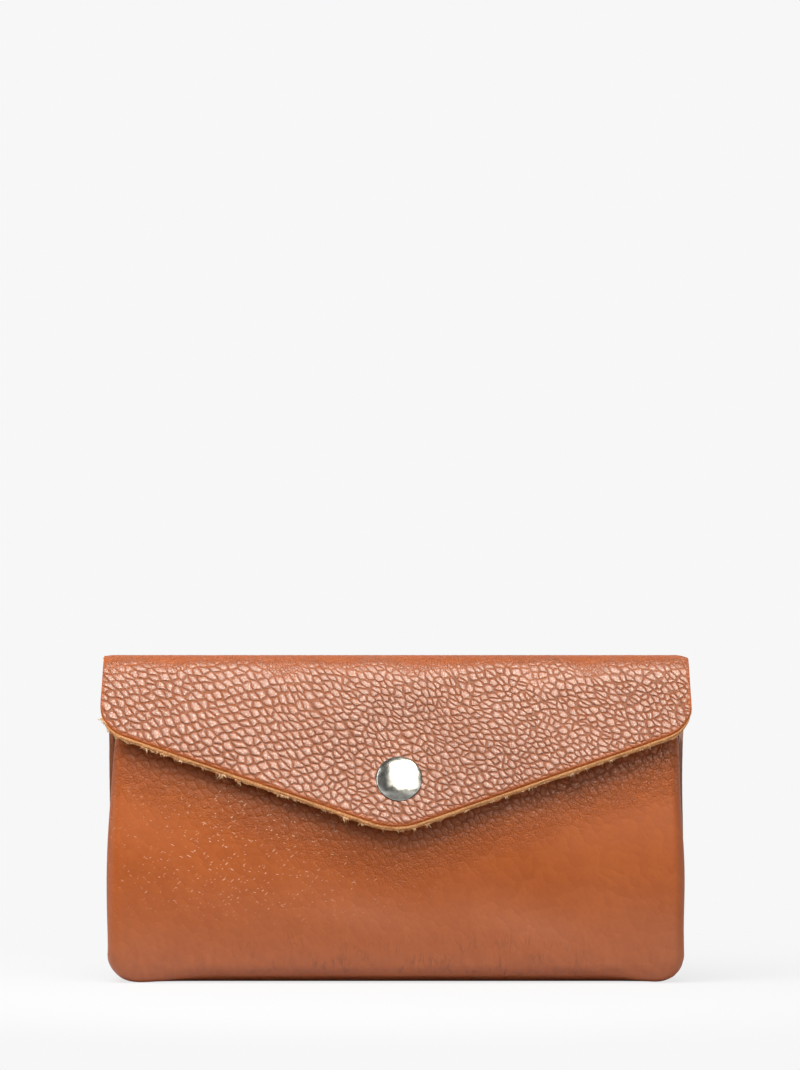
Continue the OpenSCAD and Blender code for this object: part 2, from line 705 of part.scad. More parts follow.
back_panel();
base_panel();
front_panel();
flap_fold();
flap();
gusset_rear_left();
gusset_rear_right();
gusset_front_left();
gusset_front_right();
pocket_front_wall();
pocket_back_wall();
card_tier_top();
card_tier_middle();
card_tier_bottom();
zip_tape_front();
zip_tape_back();
zip_teeth_front();
zip_teeth_back();
zip_top_stops();
zip_bottom_stop();
zip_slider();
zip_pull();
snap_cap();
snap_socket();
snap_spring();
snap_stud();
snap_eyelet();
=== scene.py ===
# A long envelope wallet in tan pebbled leather, standing shut, with one press stud on its pointed flap.
import math

import bmesh
import bpy
import numpy as np
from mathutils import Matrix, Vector


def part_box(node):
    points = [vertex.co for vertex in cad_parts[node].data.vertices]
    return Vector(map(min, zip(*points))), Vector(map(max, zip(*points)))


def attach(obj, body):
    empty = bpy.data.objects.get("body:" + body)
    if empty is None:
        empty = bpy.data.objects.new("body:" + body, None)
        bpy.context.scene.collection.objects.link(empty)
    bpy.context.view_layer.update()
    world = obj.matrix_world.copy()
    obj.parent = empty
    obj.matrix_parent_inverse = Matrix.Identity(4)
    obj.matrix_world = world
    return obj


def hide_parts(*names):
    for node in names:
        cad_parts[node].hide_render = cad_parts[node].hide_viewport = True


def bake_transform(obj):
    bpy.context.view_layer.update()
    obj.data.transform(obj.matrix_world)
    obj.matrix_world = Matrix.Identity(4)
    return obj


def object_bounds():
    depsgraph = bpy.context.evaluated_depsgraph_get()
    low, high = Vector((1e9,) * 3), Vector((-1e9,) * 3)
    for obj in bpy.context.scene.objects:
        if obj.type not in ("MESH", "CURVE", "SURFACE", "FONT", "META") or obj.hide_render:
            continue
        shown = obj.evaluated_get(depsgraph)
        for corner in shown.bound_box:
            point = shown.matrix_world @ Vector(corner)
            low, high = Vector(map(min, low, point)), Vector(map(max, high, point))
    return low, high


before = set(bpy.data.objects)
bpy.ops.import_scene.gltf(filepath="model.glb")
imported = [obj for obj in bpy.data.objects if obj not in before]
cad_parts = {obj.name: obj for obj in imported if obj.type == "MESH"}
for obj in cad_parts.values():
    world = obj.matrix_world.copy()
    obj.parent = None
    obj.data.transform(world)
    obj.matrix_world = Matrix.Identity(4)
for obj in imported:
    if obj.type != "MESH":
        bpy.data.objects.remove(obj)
cad_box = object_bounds()


# Camera: a long lens two metres in front of the wallet, a little above it and almost level, so that
# the wallet sits low in the picture and its upright lines stay parallel.
def add_object(name, data):
    """An object with its mesh, lamp or camera, in the scene."""
    made = bpy.data.objects.new(name, data)
    bpy.context.scene.collection.objects.link(made)
    return made


MM = 0.001
picture_w, picture_h = 800, 1070
wallet_px = 595.5
sole_px = 985.5
middle_px = 396
flap_low, flap_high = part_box("flap")
px_per_m = wallet_px / (flap_high.x - flap_low.x)
view_distance = 2.0
view_rise = math.radians(3.0)
camera_data = bpy.data.cameras.new("camera")
camera_data.lens = camera_data.sensor_width * view_distance / (picture_h / px_per_m)
camera = add_object("camera", camera_data)
aim_x = (picture_w / 2 - middle_px) / px_per_m
aim_z = (sole_px - picture_h / 2) / px_per_m
aim = Vector((aim_x, flap_low.y, aim_z))
eye_z = cad_box[1].z / 2 + view_distance * math.sin(view_rise)
camera.location = (aim.x, aim.y - view_distance, eye_z)
camera.rotation_euler = (aim - camera.location).to_track_quat("-Z", "Y").to_euler()
bpy.context.scene.camera = camera
bpy.context.scene.view_settings.view_transform = "Standard"


# Studio: a room that is white behind the wallet and low at its sides, and dim behind the camera. A large
# box and two strips are mirrored in the gloss, three more boxes give the matt light, and the pale floor
# takes the shadow.
def set_inputs(tree, node, inputs):
    """Gives a node values or links for its inputs."""
    for key, value in inputs.items():
        if isinstance(value, bpy.types.NodeSocket):
            tree.links.new(value, node.inputs[key])
        else:
            node.inputs[key].default_value = value


def add_node(tree, kind, inputs=None, **settings):
    """Adds a node with its settings, and with values or links for its inputs."""
    made = tree.nodes.new(kind)
    for key, value in settings.items():
        setattr(made, key, value)
    set_inputs(tree, made, inputs or {})
    return made


def maths(tree, operation, *values):
    """Adds a Math node and returns its result."""
    return add_node(tree, "ShaderNodeMath", dict(enumerate(values)), operation=operation).outputs[0]


def vectors(tree, operation, *values):
    """Adds a Vector Math node and returns its results."""
    return add_node(tree, "ShaderNodeVectorMath", dict(enumerate(values)), operation=operation).outputs


def ramp(tree, value, low, high, first=0.0, last=1.0):
    """A smooth step of value from low to high, giving first to last."""
    inputs = {"Value": value, "From Min": low, "From Max": high, "To Min": first, "To Max": last}
    return add_node(tree, "ShaderNodeMapRange", inputs, interpolation_type="SMOOTHSTEP").outputs[0]


def mix(tree, share, one, other):
    """A value between two others."""
    return add_node(tree, "ShaderNodeMix", {0: share, 2: one, 3: other}).outputs[0]


def object_place(tree):
    """The place of a point in its own piece, in metres."""
    return add_node(tree, "ShaderNodeTexCoord").outputs["Object"]


backdrop_white = 0.93
room_dim = 0.05
sky_low, sky_high = 0.07, 0.34
side_light = 0.5
world = bpy.data.worlds.new("studio")
bpy.context.scene.world = world
world.use_nodes = True
tree = world.node_tree
tree.nodes.clear()
ray = add_node(tree, "ShaderNodeLightPath").outputs
direction = add_node(tree, "ShaderNodeTexCoord").outputs["Generated"]
axes = add_node(tree, "ShaderNodeSeparateXYZ", {0: direction}).outputs
soft_sky = ramp(tree, axes["Z"], -0.2, 1.0, sky_low, sky_high)
room = ramp(tree, axes["Y"], 0.1, 0.8, room_dim, backdrop_white)
beside = ramp(tree, maths(tree, "ABSOLUTE", axes["X"]), 0.5, 0.85, 0.0, backdrop_white)
beside = maths(tree, "MULTIPLY", beside, ramp(tree, axes["Z"], 0.05, 0.35, 1.0, 0.0))
room = maths(tree, "MAXIMUM", room, beside)
soft_sky = maths(tree, "MAXIMUM", soft_sky, maths(tree, "MULTIPLY", beside, side_light))
seen = maths(tree, "MAXIMUM", ray["Is Camera Ray"], ray["Is Transmission Ray"])
level = mix(tree, ray["Is Glossy Ray"], soft_sky, room)
level = mix(tree, seen, level, backdrop_white)
background = add_node(tree, "ShaderNodeBackground", {"Color": (1, 1, 1, 1), "Strength": level})
add_node(tree, "ShaderNodeOutputWorld", {"Surface": background.outputs[0]})


def soft_box(name, azimuth, elevation, distance, width, height, radiance, glossy, colour=(1, 1, 1)):
    """An area lamp that faces the wallet from a direction in degrees, for the gloss or for matt light."""
    lamp = bpy.data.lights.new(name, "AREA")
    lamp.shape = "RECTANGLE"
    lamp.size = width
    lamp.size_y = height
    lamp.energy = radiance * math.pi * width * height
    lamp.color = colour
    holder = add_object(name, lamp)
    a, e = math.radians(azimuth), math.radians(elevation)
    way = Vector((math.sin(a) * math.cos(e), -math.cos(a) * math.cos(e), math.sin(e)))
    target = Vector((0, 0, cad_box[1].z / 2))
    holder.location = target + way * distance
    holder.rotation_euler = way.to_track_quat("Z", "Y").to_euler()
    holder.visible_camera = False
    holder.visible_diffuse = not glossy
    holder.visible_glossy = glossy


soft_box("key_box", 17, 40, 1.3, 1.3, 1.65, 8.0, True, (1, 0.97, 0.86))
soft_box("wing_box", -20, 40, 1.3, 0.22, 1.4, 1.6, True, (1, 0.97, 0.88))
soft_box("high_box", -20, 60, 0.85, 1.0, 0.8, 3.5, False)
soft_box("low_box", 60, 6, 0.7, 0.5, 0.3, 1.1, False)
soft_box("fill_box", -45, 36, 0.6, 0.4, 0.4, 2.0, False)
soft_box("edge_strip", -72, 25, 1.2, 0.35, 0.9, 2.4, True)

floor_reach = 3.0
floor_white = 0.92
mirror_white = 0.95
floor_mesh = bpy.data.meshes.new("floor")
corners = [(x * floor_reach, y * floor_reach, 0) for x, y in ((-1, -1), (1, -1), (1, 1), (-1, 1))]
floor_mesh.from_pydata(corners, [], [(0, 1, 2, 3)])
floor = add_object("floor", floor_mesh)
floor_material = bpy.data.materials.new("pale_floor")
floor_material.use_nodes = True
tree = floor_material.node_tree
tree.nodes.clear()
ray = add_node(tree, "ShaderNodeLightPath").outputs
place = object_place(tree)
away = vectors(tree, "LENGTH", place)["Value"]
axes = add_node(tree, "ShaderNodeSeparateXYZ", {0: place}).outputs
sideways = maths(tree, "ABSOLUTE", axes["X"])
matt = ramp(tree, axes["Y"], -0.06, -0.025, 0.0, 0.6)
matt = maths(tree, "MAXIMUM", matt, ramp(tree, sideways, 0.02, 0.11, 0.08, 0.26))
mirrored = ramp(tree, axes["Y"], -0.12, -0.03, 0.2, mirror_white)
mirrored = maths(tree, "MAXIMUM", mirrored, ramp(tree, sideways, 0.12, 0.3, 0.0, mirror_white))
paper = mix(tree, ray["Is Glossy Ray"], matt, mirrored)
paper = mix(tree, ray["Is Camera Ray"], paper, floor_white)
lit = add_node(tree, "ShaderNodeBsdfDiffuse", {"Color": paper})
glow = add_node(tree, "ShaderNodeEmission", {"Color": (1, 1, 1, 1), "Strength": backdrop_white})
share = ramp(tree, away, 0.1, 0.26, 0.8, 1.0)
share = maths(tree, "MULTIPLY", share, ray["Is Camera Ray"])
mixed = add_node(tree, "ShaderNodeMixShader", {0: share, 1: lit.outputs[0], 2: glow.outputs[0]})
add_node(tree, "ShaderNodeOutputMaterial", {"Surface": mixed.outputs[0]})
floor_mesh.materials.append(floor_material)

# Outer leather: one cut of tumbled cowhide, 1.4 mm thick, makes the front, base, back, fold and flap.
# The hide's own directions, across and along the cut, carry the grain over every bend.
leather_t = 1.4
front_low, front_high = (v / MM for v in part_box("front_panel"))
base_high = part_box("base_panel")[1] / MM
back_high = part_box("back_panel")[1] / MM
body_half = front_high.x
front_belly = -front_low.y
front_h = front_high.z
edge_r = base_high.z
foot = base_high.y
sole_half = foot - edge_r
back_belly = back_high.y
fold_half = back_high.x
belly_z, front_top, back_top = 32.0, 3.5, 10.8
corner_r, side_r, hem_l, crown, front_taper = 9.0, 4.0, 2.0, 1.5, 4.0
fold_rise, fold_gap = 1.0, 1.0
fold_z = front_h + fold_rise
fold_r = (back_top + front_top + fold_gap + leather_t) / 2
fold_y = (back_top - front_top - fold_gap - leather_t) / 2


def low_depth(z, belly):
    """Depth of a panel from the sole up to its thickest height: one easy curve."""
    share = np.clip(1 - z / belly_z, 0, 1)
    return sole_half + (belly - sole_half) * np.sqrt(1 - share**4)


def front_depth(z):
    """Depth of the front panel's outer face before the middle plane."""
    share = np.clip((z - belly_z) / (front_h - belly_z), 0, 1.1)
    high = front_top + (front_belly - front_top) * np.cos(math.pi / 2 * share)
    return np.where(z < belly_z, low_depth(z, front_belly), high)


def back_depth(z):
    """Depth of the back panel's outer face behind the middle plane."""
    share = np.clip((z - belly_z) / (fold_z - belly_z), 0, 1)
    high = back_top + (back_belly - back_top) * (1 + np.cos(math.pi * share)) / 2
    return np.where(z < belly_z, low_depth(z, back_belly), high)


def front_crown(z):
    """How far the front's middle stands out over its sides."""
    return crown * np.clip((front_depth(z) - front_top) / (front_belly - front_top), 0, 1)


def back_crown(z):
    """How far the back's middle stands out over its sides."""
    return crown * np.clip((back_depth(z) - back_top) / (back_belly - back_top), 0, 1)


def half_width(z):
    """Half the body's width, with its rounded bottom corners."""
    return body_half - corner_r + np.sqrt(np.maximum(0, corner_r**2 - np.maximum(0, corner_r - z) ** 2))


def front_half(z):
    """Half the front's width, a little narrower towards the mouth."""
    return half_width(z) - front_taper * (np.maximum(0, z - belly_z) / (front_h - belly_z)) ** 2


def smooth_step(value, low, high):
    """A soft step from 0 at low to 1 at high."""
    t = np.clip((value - low) / (high - low), 0, 1)
    return t * t * (3 - 2 * t)


def ripple(x, t, length, seed):
    """A slow, even wave over the hide, from -1 to 1, with no direction of its own."""
    draw = np.random.default_rng(seed)
    total = np.zeros(np.broadcast(x, t).shape)
    waves = 7
    circle = 6.28
    turns = draw.uniform(0, circle, waves)
    phases = draw.uniform(0, circle, waves)
    stretches = draw.uniform(0.7, 1.5, waves)
    for turn, phase, stretch in zip(turns, phases, stretches):
        far = x * math.cos(turn) + t * math.sin(turn)
        total = total + np.sin(circle * far / (length * stretch) + phase)
    return total / math.sqrt(2 * waves)


def grid_normals(points, closed=False):
    """Unit normals of a grid of points, rows by columns."""
    along = np.gradient(points, axis=0)
    if closed:
        across = (np.roll(points, -1, axis=1) - np.roll(points, 1, axis=1)) / 2
    else:
        across = np.gradient(points, axis=1)
    normal = np.cross(across, along)
    return normal / np.maximum(np.linalg.norm(normal, axis=2, keepdims=True), 1e-9)


def border(rows, cols):
    """Indices round the edge of a grid, in order."""
    low = [(0, j) for j in range(cols)]
    right = [(i, cols - 1) for i in range(1, rows)]
    high = [(rows - 1, j) for j in range(cols - 2, -1, -1)]
    left = [(i, 0) for i in range(rows - 2, 0, -1)]
    return np.array([i * cols + j for i, j in low + right + high + left])


def grid_faces(rows, cols, closed, first, flip):
    """Faces of a grid whose points start at index first. A closed grid joins its last column to its first."""
    i, j = np.meshgrid(np.arange(rows - 1), np.arange(cols if closed else cols - 1), indexing="ij")
    a = first + i * cols + j
    b = first + i * cols + (j + 1) % cols
    quads = np.stack([a, b, b + cols, a + cols], axis=-1).reshape(-1, 4)
    return quads[:, ::-1] if flip else quads


def link_faces(one, other, flip):
    """Faces between two closed loops of as many points."""
    quads = np.stack([one, np.roll(one, -1), np.roll(other, -1), other], axis=-1)
    return quads[:, ::-1] if flip else quads


def mesh_attribute(mesh, key, kind, values, domain="POINT"):
    """Writes values to a mesh under a name."""
    field = "vector" if kind == "FLOAT_VECTOR" else "value"
    mesh.attributes.new(key, kind, domain).data.foreach_set(field, np.ravel(values))


def leather_mesh(name, outer, outward, inner, hide, relief, rims=(), closed=False, raw_above=math.inf,
                 gloss=0.25, fleck=0, wrinkle=0):
    """A closed leather piece: its grain side, its flesh side and its cut edge.

    outer and inner are grids of points in millimetres, outward the way out of each outer point, hide its
    place on the hide and relief the depth of its grain. rims are loops of points between the two edges.
    The cut edge is left raw above a height and painted below it. gloss is how polished the finish is,
    fleck where small glints are painted into the colour as pale streaks, and wrinkle where the leather is
    creased."""
    rows, cols = outer.shape[:2]
    count = rows * cols
    edge = np.arange(cols) + (rows - 1) * cols if closed else border(rows, cols)
    flat_hide = hide.reshape(-1, 2)
    points = np.concatenate([outer.reshape(-1, 3), inner.reshape(-1, 3), *rims])
    places = [flat_hide, flat_hide] + [flat_hide[edge]] * len(rims)
    loops = [edge]
    loops += [2 * count + i * len(edge) + np.arange(len(edge)) for i in range(len(rims))]
    loops.append(edge + count)
    sides = [grid_faces(rows, cols, closed, 0, False), grid_faces(rows, cols, closed, count, True)]
    cut = np.concatenate([link_faces(one, other, not closed) for one, other in zip(loops, loops[1:])])
    slots = np.repeat([0, 1, 2], [len(sides[0]), len(sides[1]), len(cut)])
    slots[-len(cut):] += points[cut[:, 0], 2] < raw_above
    mesh = bpy.data.meshes.new(name)
    mesh.from_pydata(points * MM, [], np.concatenate([*sides, cut]).tolist())
    total = len(mesh.vertices)
    spot = np.zeros((total, 3))
    spot[:, :2] = np.concatenate(places)
    way = np.zeros((total, 3))
    way[:count] = outward.reshape(-1, 3)
    on_edge = np.zeros(total, bool)
    on_edge[edge] = True
    on_edge[edge + count] = True
    ends = np.zeros(2 * len(mesh.edges), int)
    mesh.edges.foreach_get("vertices", ends)
    sharp = on_edge[ends.reshape(-1, 2)].all(axis=1)
    mesh_attribute(mesh, "hide", "FLOAT_VECTOR", spot)
    mesh_attribute(mesh, "outward", "FLOAT_VECTOR", way)
    for key, share in (("relief", relief), ("gloss", gloss), ("fleck", fleck), ("wrinkle", wrinkle)):
        value = np.zeros(total)
        value[:count] = np.ravel(share + 0 * relief)
        mesh_attribute(mesh, key, "FLOAT", value)
    mesh_attribute(mesh, "sharp_edge", "BOOLEAN", sharp, "EDGE")
    mesh.polygons.foreach_set("material_index", slots)
    mesh.polygons.foreach_set("use_smooth", [True] * len(slots))
    return add_object(name, mesh)


def noise(tree, place, scale, detail, **more):
    """A cloudy pattern: its value, and its colour."""
    inputs = {"Vector": place, "Scale": scale, "Detail": detail, **more}
    return add_node(tree, "ShaderNodeTexNoise", inputs).outputs


def packed_cells(tree, feature, place, scale, disorder):
    """Cells packed in the plane of the hide."""
    inputs = {"Vector": place, "Scale": scale, "Randomness": disorder}
    return add_node(tree, "ShaderNodeTexVoronoi", inputs, voronoi_dimensions="2D", feature=feature).outputs


def hide_grain(tree, place):
    """The grain of the hide: its height in millimetres, how far up a pebble the place is, the pebble's
    own tone, and how far off the fine creases on it the place is.

    The pebbles lie in slanting rows, as tumbling creases a hide along two directions of its own. They are
    coarse and even at the left and finer towards the right."""
    steep, shallow = math.radians(57), math.radians(-12)
    length, width = 3.3, 2.65
    coarse_x, fine_x = -45, 5
    fine_low, fine_high = 114, 194
    fine_half = (fine_high - fine_low) / 2
    finer_by = 0.2
    area = math.sin(steep - shallow)
    across = (-math.sin(shallow) / (length * area), math.cos(shallow) / (length * area), 0)
    along = (math.sin(steep) / (width * area), -math.cos(steep) / (width * area), 0)
    bent = place
    for scale, reach in ((0.04, 6.0), (0.45, 1.0)):
        drift = vectors(tree, "ADD", noise(tree, place, scale, 2.0)[1], (-0.5, -0.5, 0))[0]
        bent = vectors(tree, "MULTIPLY_ADD", drift, (reach, reach, 0), bent)[0]
    spot = add_node(tree, "ShaderNodeSeparateXYZ", {0: bent}).outputs
    finer = ramp(tree, spot[0], coarse_x, fine_x)
    gain = maths(tree, "MAXIMUM", maths(tree, "SUBTRACT", spot[0], fine_x), 0.0)
    gain = maths(tree, "MULTIPLY_ADD", maths(tree, "MULTIPLY", finer, finer), (fine_x - coarse_x) / 2, gain)
    side = maths(tree, "MULTIPLY_ADD", gain, finer_by, spot[0])
    down = maths(tree, "MULTIPLY", finer, ramp(tree, spot[1], fine_low, fine_high, -fine_half, fine_half))
    down = maths(tree, "MULTIPLY_ADD", down, finer_by, spot[1])
    bent = add_node(tree, "ShaderNodeCombineXYZ", {0: side, 1: down}).outputs[0]
    row, col = (vectors(tree, "DOT_PRODUCT", bent, way)["Value"] for way in (across, along))
    cells = add_node(tree, "ShaderNodeCombineXYZ", {0: row, 1: col}).outputs[0]
    disorder = ramp(tree, finer, 0.0, 1.0, 0.55, 0.85)
    crease = packed_cells(tree, "DISTANCE_TO_EDGE", cells, 1.0, disorder)[0]
    middle = packed_cells(tree, "F1", cells, 1.0, disorder)
    tone = add_node(tree, "ShaderNodeSeparateXYZ", {0: middle["Color"]}).outputs[0]
    pebble = ramp(tree, crease, 0.0, 0.18)
    pebble = maths(tree, "MULTIPLY", pebble, ramp(tree, middle["Distance"], 0.50, 0.84, 1.0, 0.0))
    dome = ramp(tree, crease, 0.05, 0.5)
    chip = ramp(tree, packed_cells(tree, "DISTANCE_TO_EDGE", bent, 0.95, 1.0)[0], 0.0, 0.18)
    pores = noise(tree, place, 1.6, 3.0)[0]
    height = maths(tree, "MULTIPLY", maths(tree, "MULTIPLY_ADD", tone, 0.06, 0.13), pebble)
    for part, tall in ((dome, 0.06), (maths(tree, "MULTIPLY", chip, pebble), 0.035), (pores, 0.08)):
        height = maths(tree, "MULTIPLY_ADD", part, tall, height)
    return height, pebble, tone, chip


def new_tree(name, inputs):
    """A Geometry Nodes tree that takes geometry and the named inputs, with what it is given."""
    tree = bpy.data.node_groups.new(name, "GeometryNodeTree")
    tree.interface.new_socket("Geometry", in_out="INPUT", socket_type="NodeSocketGeometry")
    for key, kind in inputs.items():
        tree.interface.new_socket(key, in_out="INPUT", socket_type="NodeSocket" + kind)
    tree.interface.new_socket("Geometry", in_out="OUTPUT", socket_type="NodeSocketGeometry")
    return tree, tree.nodes.new("NodeGroupInput").outputs


def end_tree(tree, geometry, material, chosen=True):
    """Ends a tree: makes its instances real and gives the chosen faces their surface."""
    real = add_node(tree, "GeometryNodeRealizeInstances", {0: geometry}).outputs[0]
    inputs = {"Geometry": real, "Selection": chosen, "Material": material}
    painted = add_node(tree, "GeometryNodeSetMaterial", inputs).outputs[0]
    tree.links.new(painted, tree.nodes.new("NodeGroupOutput").inputs[0])


def run_tree(piece, tree, values):
    """Runs a tree on a piece with values for its named inputs, and keeps the result as a plain mesh."""
    step = piece.modifiers.new(tree.name, "NODES")
    step.node_group = tree
    for socket in tree.interface.items_tree:
        if socket.name in values:
            step[socket.identifier] = values[socket.name]
    graph = bpy.context.evaluated_depsgraph_get()
    ready = piece.evaluated_get(graph)
    result = bpy.data.meshes.new_from_object(ready, preserve_all_data_layers=True, depsgraph=graph)
    piece.modifiers.clear()
    piece.data = result
    result.name = piece.name
    return piece


def carried(tree, key, kind):
    """What a mesh carries at its points under a name, for a Geometry Nodes tree."""
    return add_node(tree, "GeometryNodeInputNamedAttribute", {"Name": key}, data_type=kind).outputs[0]


def scaled(tree, vector, factor):
    """A vector made longer by a factor."""
    inputs = {0: vector, "Scale": factor}
    return add_node(tree, "ShaderNodeVectorMath", inputs, operation="SCALE").outputs[0]


grain_tree, given = new_tree("hide_grain", {"Depth": "Float", "Grain": "Material"})
height = hide_grain(grain_tree, carried(grain_tree, "hide", "FLOAT_VECTOR"))[0]
height = maths(grain_tree, "MULTIPLY", height, carried(grain_tree, "relief", "FLOAT"))
height = maths(grain_tree, "MULTIPLY", height, given["Depth"])
offset = scaled(grain_tree, carried(grain_tree, "outward", "FLOAT_VECTOR"), height)
moved = add_node(grain_tree, "GeometryNodeSetPosition", {"Geometry": given["Geometry"], "Offset": offset})
side = add_node(grain_tree, "GeometryNodeInputMaterialIndex").outputs[0]
outside = add_node(grain_tree, "FunctionNodeCompare", {"A": side, "B": 0.5}, operation="LESS_THAN")
end_tree(grain_tree, moved.outputs[0], given["Grain"], outside.outputs[0])


def new_material(name):
    """A material, its tree and its Principled shader."""
    made = bpy.data.materials.new(name)
    made.use_nodes = True
    tree = made.node_tree
    return made, tree, tree.nodes["Principled BSDF"]


def mix_colour(tree, share, one, other):
    """A colour between two others."""
    return add_node(tree, "ShaderNodeMix", {0: share, 6: one, 7: other}, data_type="RGBA").outputs[2]


def bump(tree, height, distance):
    """The normal of a surface with fine relief."""
    return add_node(tree, "ShaderNodeBump", {"Height": height, "Distance": distance}).outputs[0]


def on_mesh(tree, key, output="Fac"):
    """What a mesh carries under a name, for a surface."""
    return add_node(tree, "ShaderNodeAttribute", attribute_name=key).outputs[output]


def grain_material(name, crease, low, high):
    """Finished grain side: dark creases, pebbles of two tones, and a clear finish that is thick on them.

    The mesh says how deep the pebbles are and how thick the finish is, where fine upright creases lie, which
    are pressed in and painted darker as shade, and where small glints are painted in a pale colour."""
    made, tree, shader = new_material(name)
    place = on_mesh(tree, "hide", "Vector")
    relief, gloss, glint_share, wrinkled = (on_mesh(tree, key) for key in ("relief", "gloss", "fleck", "wrinkle"))
    height, pebble, tone, chip = hide_grain(tree, place)

    share = maths(tree, "MULTIPLY", noise(tree, place, 0.04, 3.0)[0], 0.6)
    share = maths(tree, "MULTIPLY_ADD", tone, 0.2, share)
    share = maths(tree, "MULTIPLY_ADD", noise(tree, place, 0.7, 2.0)[0], 0.35, share)
    skin = mix_colour(tree, ramp(tree, share, 0.3, 0.95), low, high)
    pebbled = ramp(tree, relief, 0.2, 0.9)
    deep = maths(tree, "MULTIPLY", ramp(tree, pebble, 0.0, 0.14), pebbled)
    skin = mix_colour(tree, maths(tree, "SUBTRACT", pebbled, deep), skin, crease)

    # Fine upright wrinkles: a small bump, and a painted shade that darkens the colour along them towards the
    # crease tone.
    upright = vectors(tree, "MULTIPLY", place, (0.4, 0.09, 1))[0]
    line = maths(tree, "ABSOLUTE", maths(tree, "SUBTRACT", noise(tree, upright, 1.0, 2.0)[0], 0.5))
    line = maths(tree, "MULTIPLY", ramp(tree, line, 0.005, 0.035, 1.0, 0.0), wrinkled)
    line = maths(tree, "MULTIPLY", line, ramp(tree, noise(tree, place, 0.16, 1.0)[0], 0.4, 0.6))
    skin = mix_colour(tree, maths(tree, "MULTIPLY", line, 0.5), skin, crease)

    raised = maths(tree, "MULTIPLY_ADD", chip, 0.75, 0.25)
    raised = maths(tree, "MULTIPLY", ramp(tree, pebble, 0.0, 0.7, 0.2, 1.0), raised)
    polish = maths(tree, "MULTIPLY", gloss, mix(tree, ramp(tree, relief, 0.0, 0.6), 1.0, raised))
    skin = mix_colour(tree, maths(tree, "MULTIPLY", polish, 0.95), skin, crease)

    # Painted glints: short pale streaks in two directions, mixed into the colour where fleck is set, as
    # highlights on small ridges.
    glint_streaks = []
    for angle in (-24, 38):
        turned = add_node(tree, "ShaderNodeVectorRotate", {"Vector": place, "Angle": math.radians(angle)})
        long = vectors(tree, "MULTIPLY", turned.outputs[0], (0.5, 2.4, 1))[0]
        glint_streaks.append(ramp(tree, noise(tree, long, 1.0, 1.0)[0], 0.70, 0.74))
    fleck = maths(tree, "MULTIPLY", maths(tree, "MAXIMUM", *glint_streaks), glint_share)
    skin = mix_colour(tree, fleck, skin, (0.95, 0.66, 0.42, 1))

    half_worn = ramp(tree, relief, 0.35, 0.7, 1.0, 0.0)
    half_worn = maths(tree, "MULTIPLY", ramp(tree, relief, 0.08, 0.28, 0.0, 0.1), half_worn)
    relief_mm = maths(tree, "MULTIPLY_ADD", height, relief, maths(tree, "MULTIPLY", chip, half_worn))
    relief_mm = maths(tree, "MULTIPLY_ADD", line, -0.07, relief_mm)
    normal = bump(tree, relief_mm, MM)
    set_inputs(tree, shader, {
        "Base Color": skin,
        "Roughness": maths(tree, "MULTIPLY_ADD", tone, 0.08, ramp(tree, pebble, 0.0, 1.0, 0.50, 0.38)),
        "Specular IOR Level": 0.08,
        "Coat Weight": polish,
        "Coat Roughness": 0.40,
        "Coat IOR": 2.1,
        "Normal": normal,
        "Coat Normal": normal,
    })
    return made


def two_tone(name, pattern, dark, pale, levels, height=0.0, blend=(0.3, 0.7)):
    """A surface of two tones in a fine pattern that a function draws and that stands up by a height."""
    made, tree, shader = new_material(name)
    drawn = pattern(tree)
    share = ramp(tree, drawn, *blend) if blend else drawn
    set_inputs(tree, shader, {"Base Color": mix_colour(tree, share, dark, pale), **levels})
    if height:
        set_inputs(tree, shader, {"Normal": bump(tree, drawn, height * MM)})
    return made


def speckle(scale, detail):
    """A cloudy pattern in a piece's own place, for a surface of two tones."""
    return lambda tree: noise(tree, object_place(tree), scale, detail)[0]


def nap(tree):
    """The short fibres of the flesh side, in the hide's own place."""
    return noise(tree, on_mesh(tree, "hide", "Vector"), 1.6, 6.0, Roughness=0.7)[0]


grain_side = grain_material("grain_leather", crease=(0.20, 0.050, 0.009, 1),
                            low=(0.45, 0.098, 0.018, 1), high=(0.55, 0.130, 0.025, 1))
flesh_side = two_tone("flesh_side", nap, (0.33, 0.15, 0.065, 1), (0.50, 0.26, 0.12, 1),
                      {"Roughness": 0.92, "Sheen Weight": 0.25}, height=0.25)
cut_edge = two_tone("cut_edge", speckle(1800.0, 4.0), (0.62, 0.24, 0.07, 1), (0.87, 0.43, 0.16, 1),
                    {"Roughness": 0.85}, height=0.2)
edge_paint = two_tone("edge_paint", speckle(900.0, 3.0), (0.22, 0.055, 0.016, 1), (0.36, 0.10, 0.03, 1),
                      {"Roughness": 0.4}, height=0.06, blend=None)


def finish_leather(piece, grain, depth=1.0):
    """Presses the grain into a leather piece and gives it its surfaces."""
    for material in (grain, flesh_side, cut_edge, edge_paint):
        piece.data.materials.append(material)
    run_tree(piece, grain_tree, {"Depth": depth * MM, "Grain": grain})
    return piece


def path_length(y, z):
    """Length along a profile up to each of its points."""
    return np.concatenate([[0], np.cumsum(np.hypot(np.diff(y), np.diff(z)))])


heights = np.linspace(0, fold_z, 3000)
front_run = sole_half + path_length(front_depth(heights), heights)
back_run = sole_half + path_length(back_depth(heights), heights)


def along_front(z):
    """Place along the cut of a height on the front; the cut's zero is the middle of the sole."""
    return -np.interp(z, heights, front_run)


def along_back(z):
    """Place along the cut of a height on the back."""
    return np.interp(z, heights, back_run)


grain_step = 0.65
face_u = np.linspace(-1, 1, 2 * int((body_half - side_r) / grain_step) + 1)
turn_steps, hem_steps = 10, 4
face_flat = 0.1


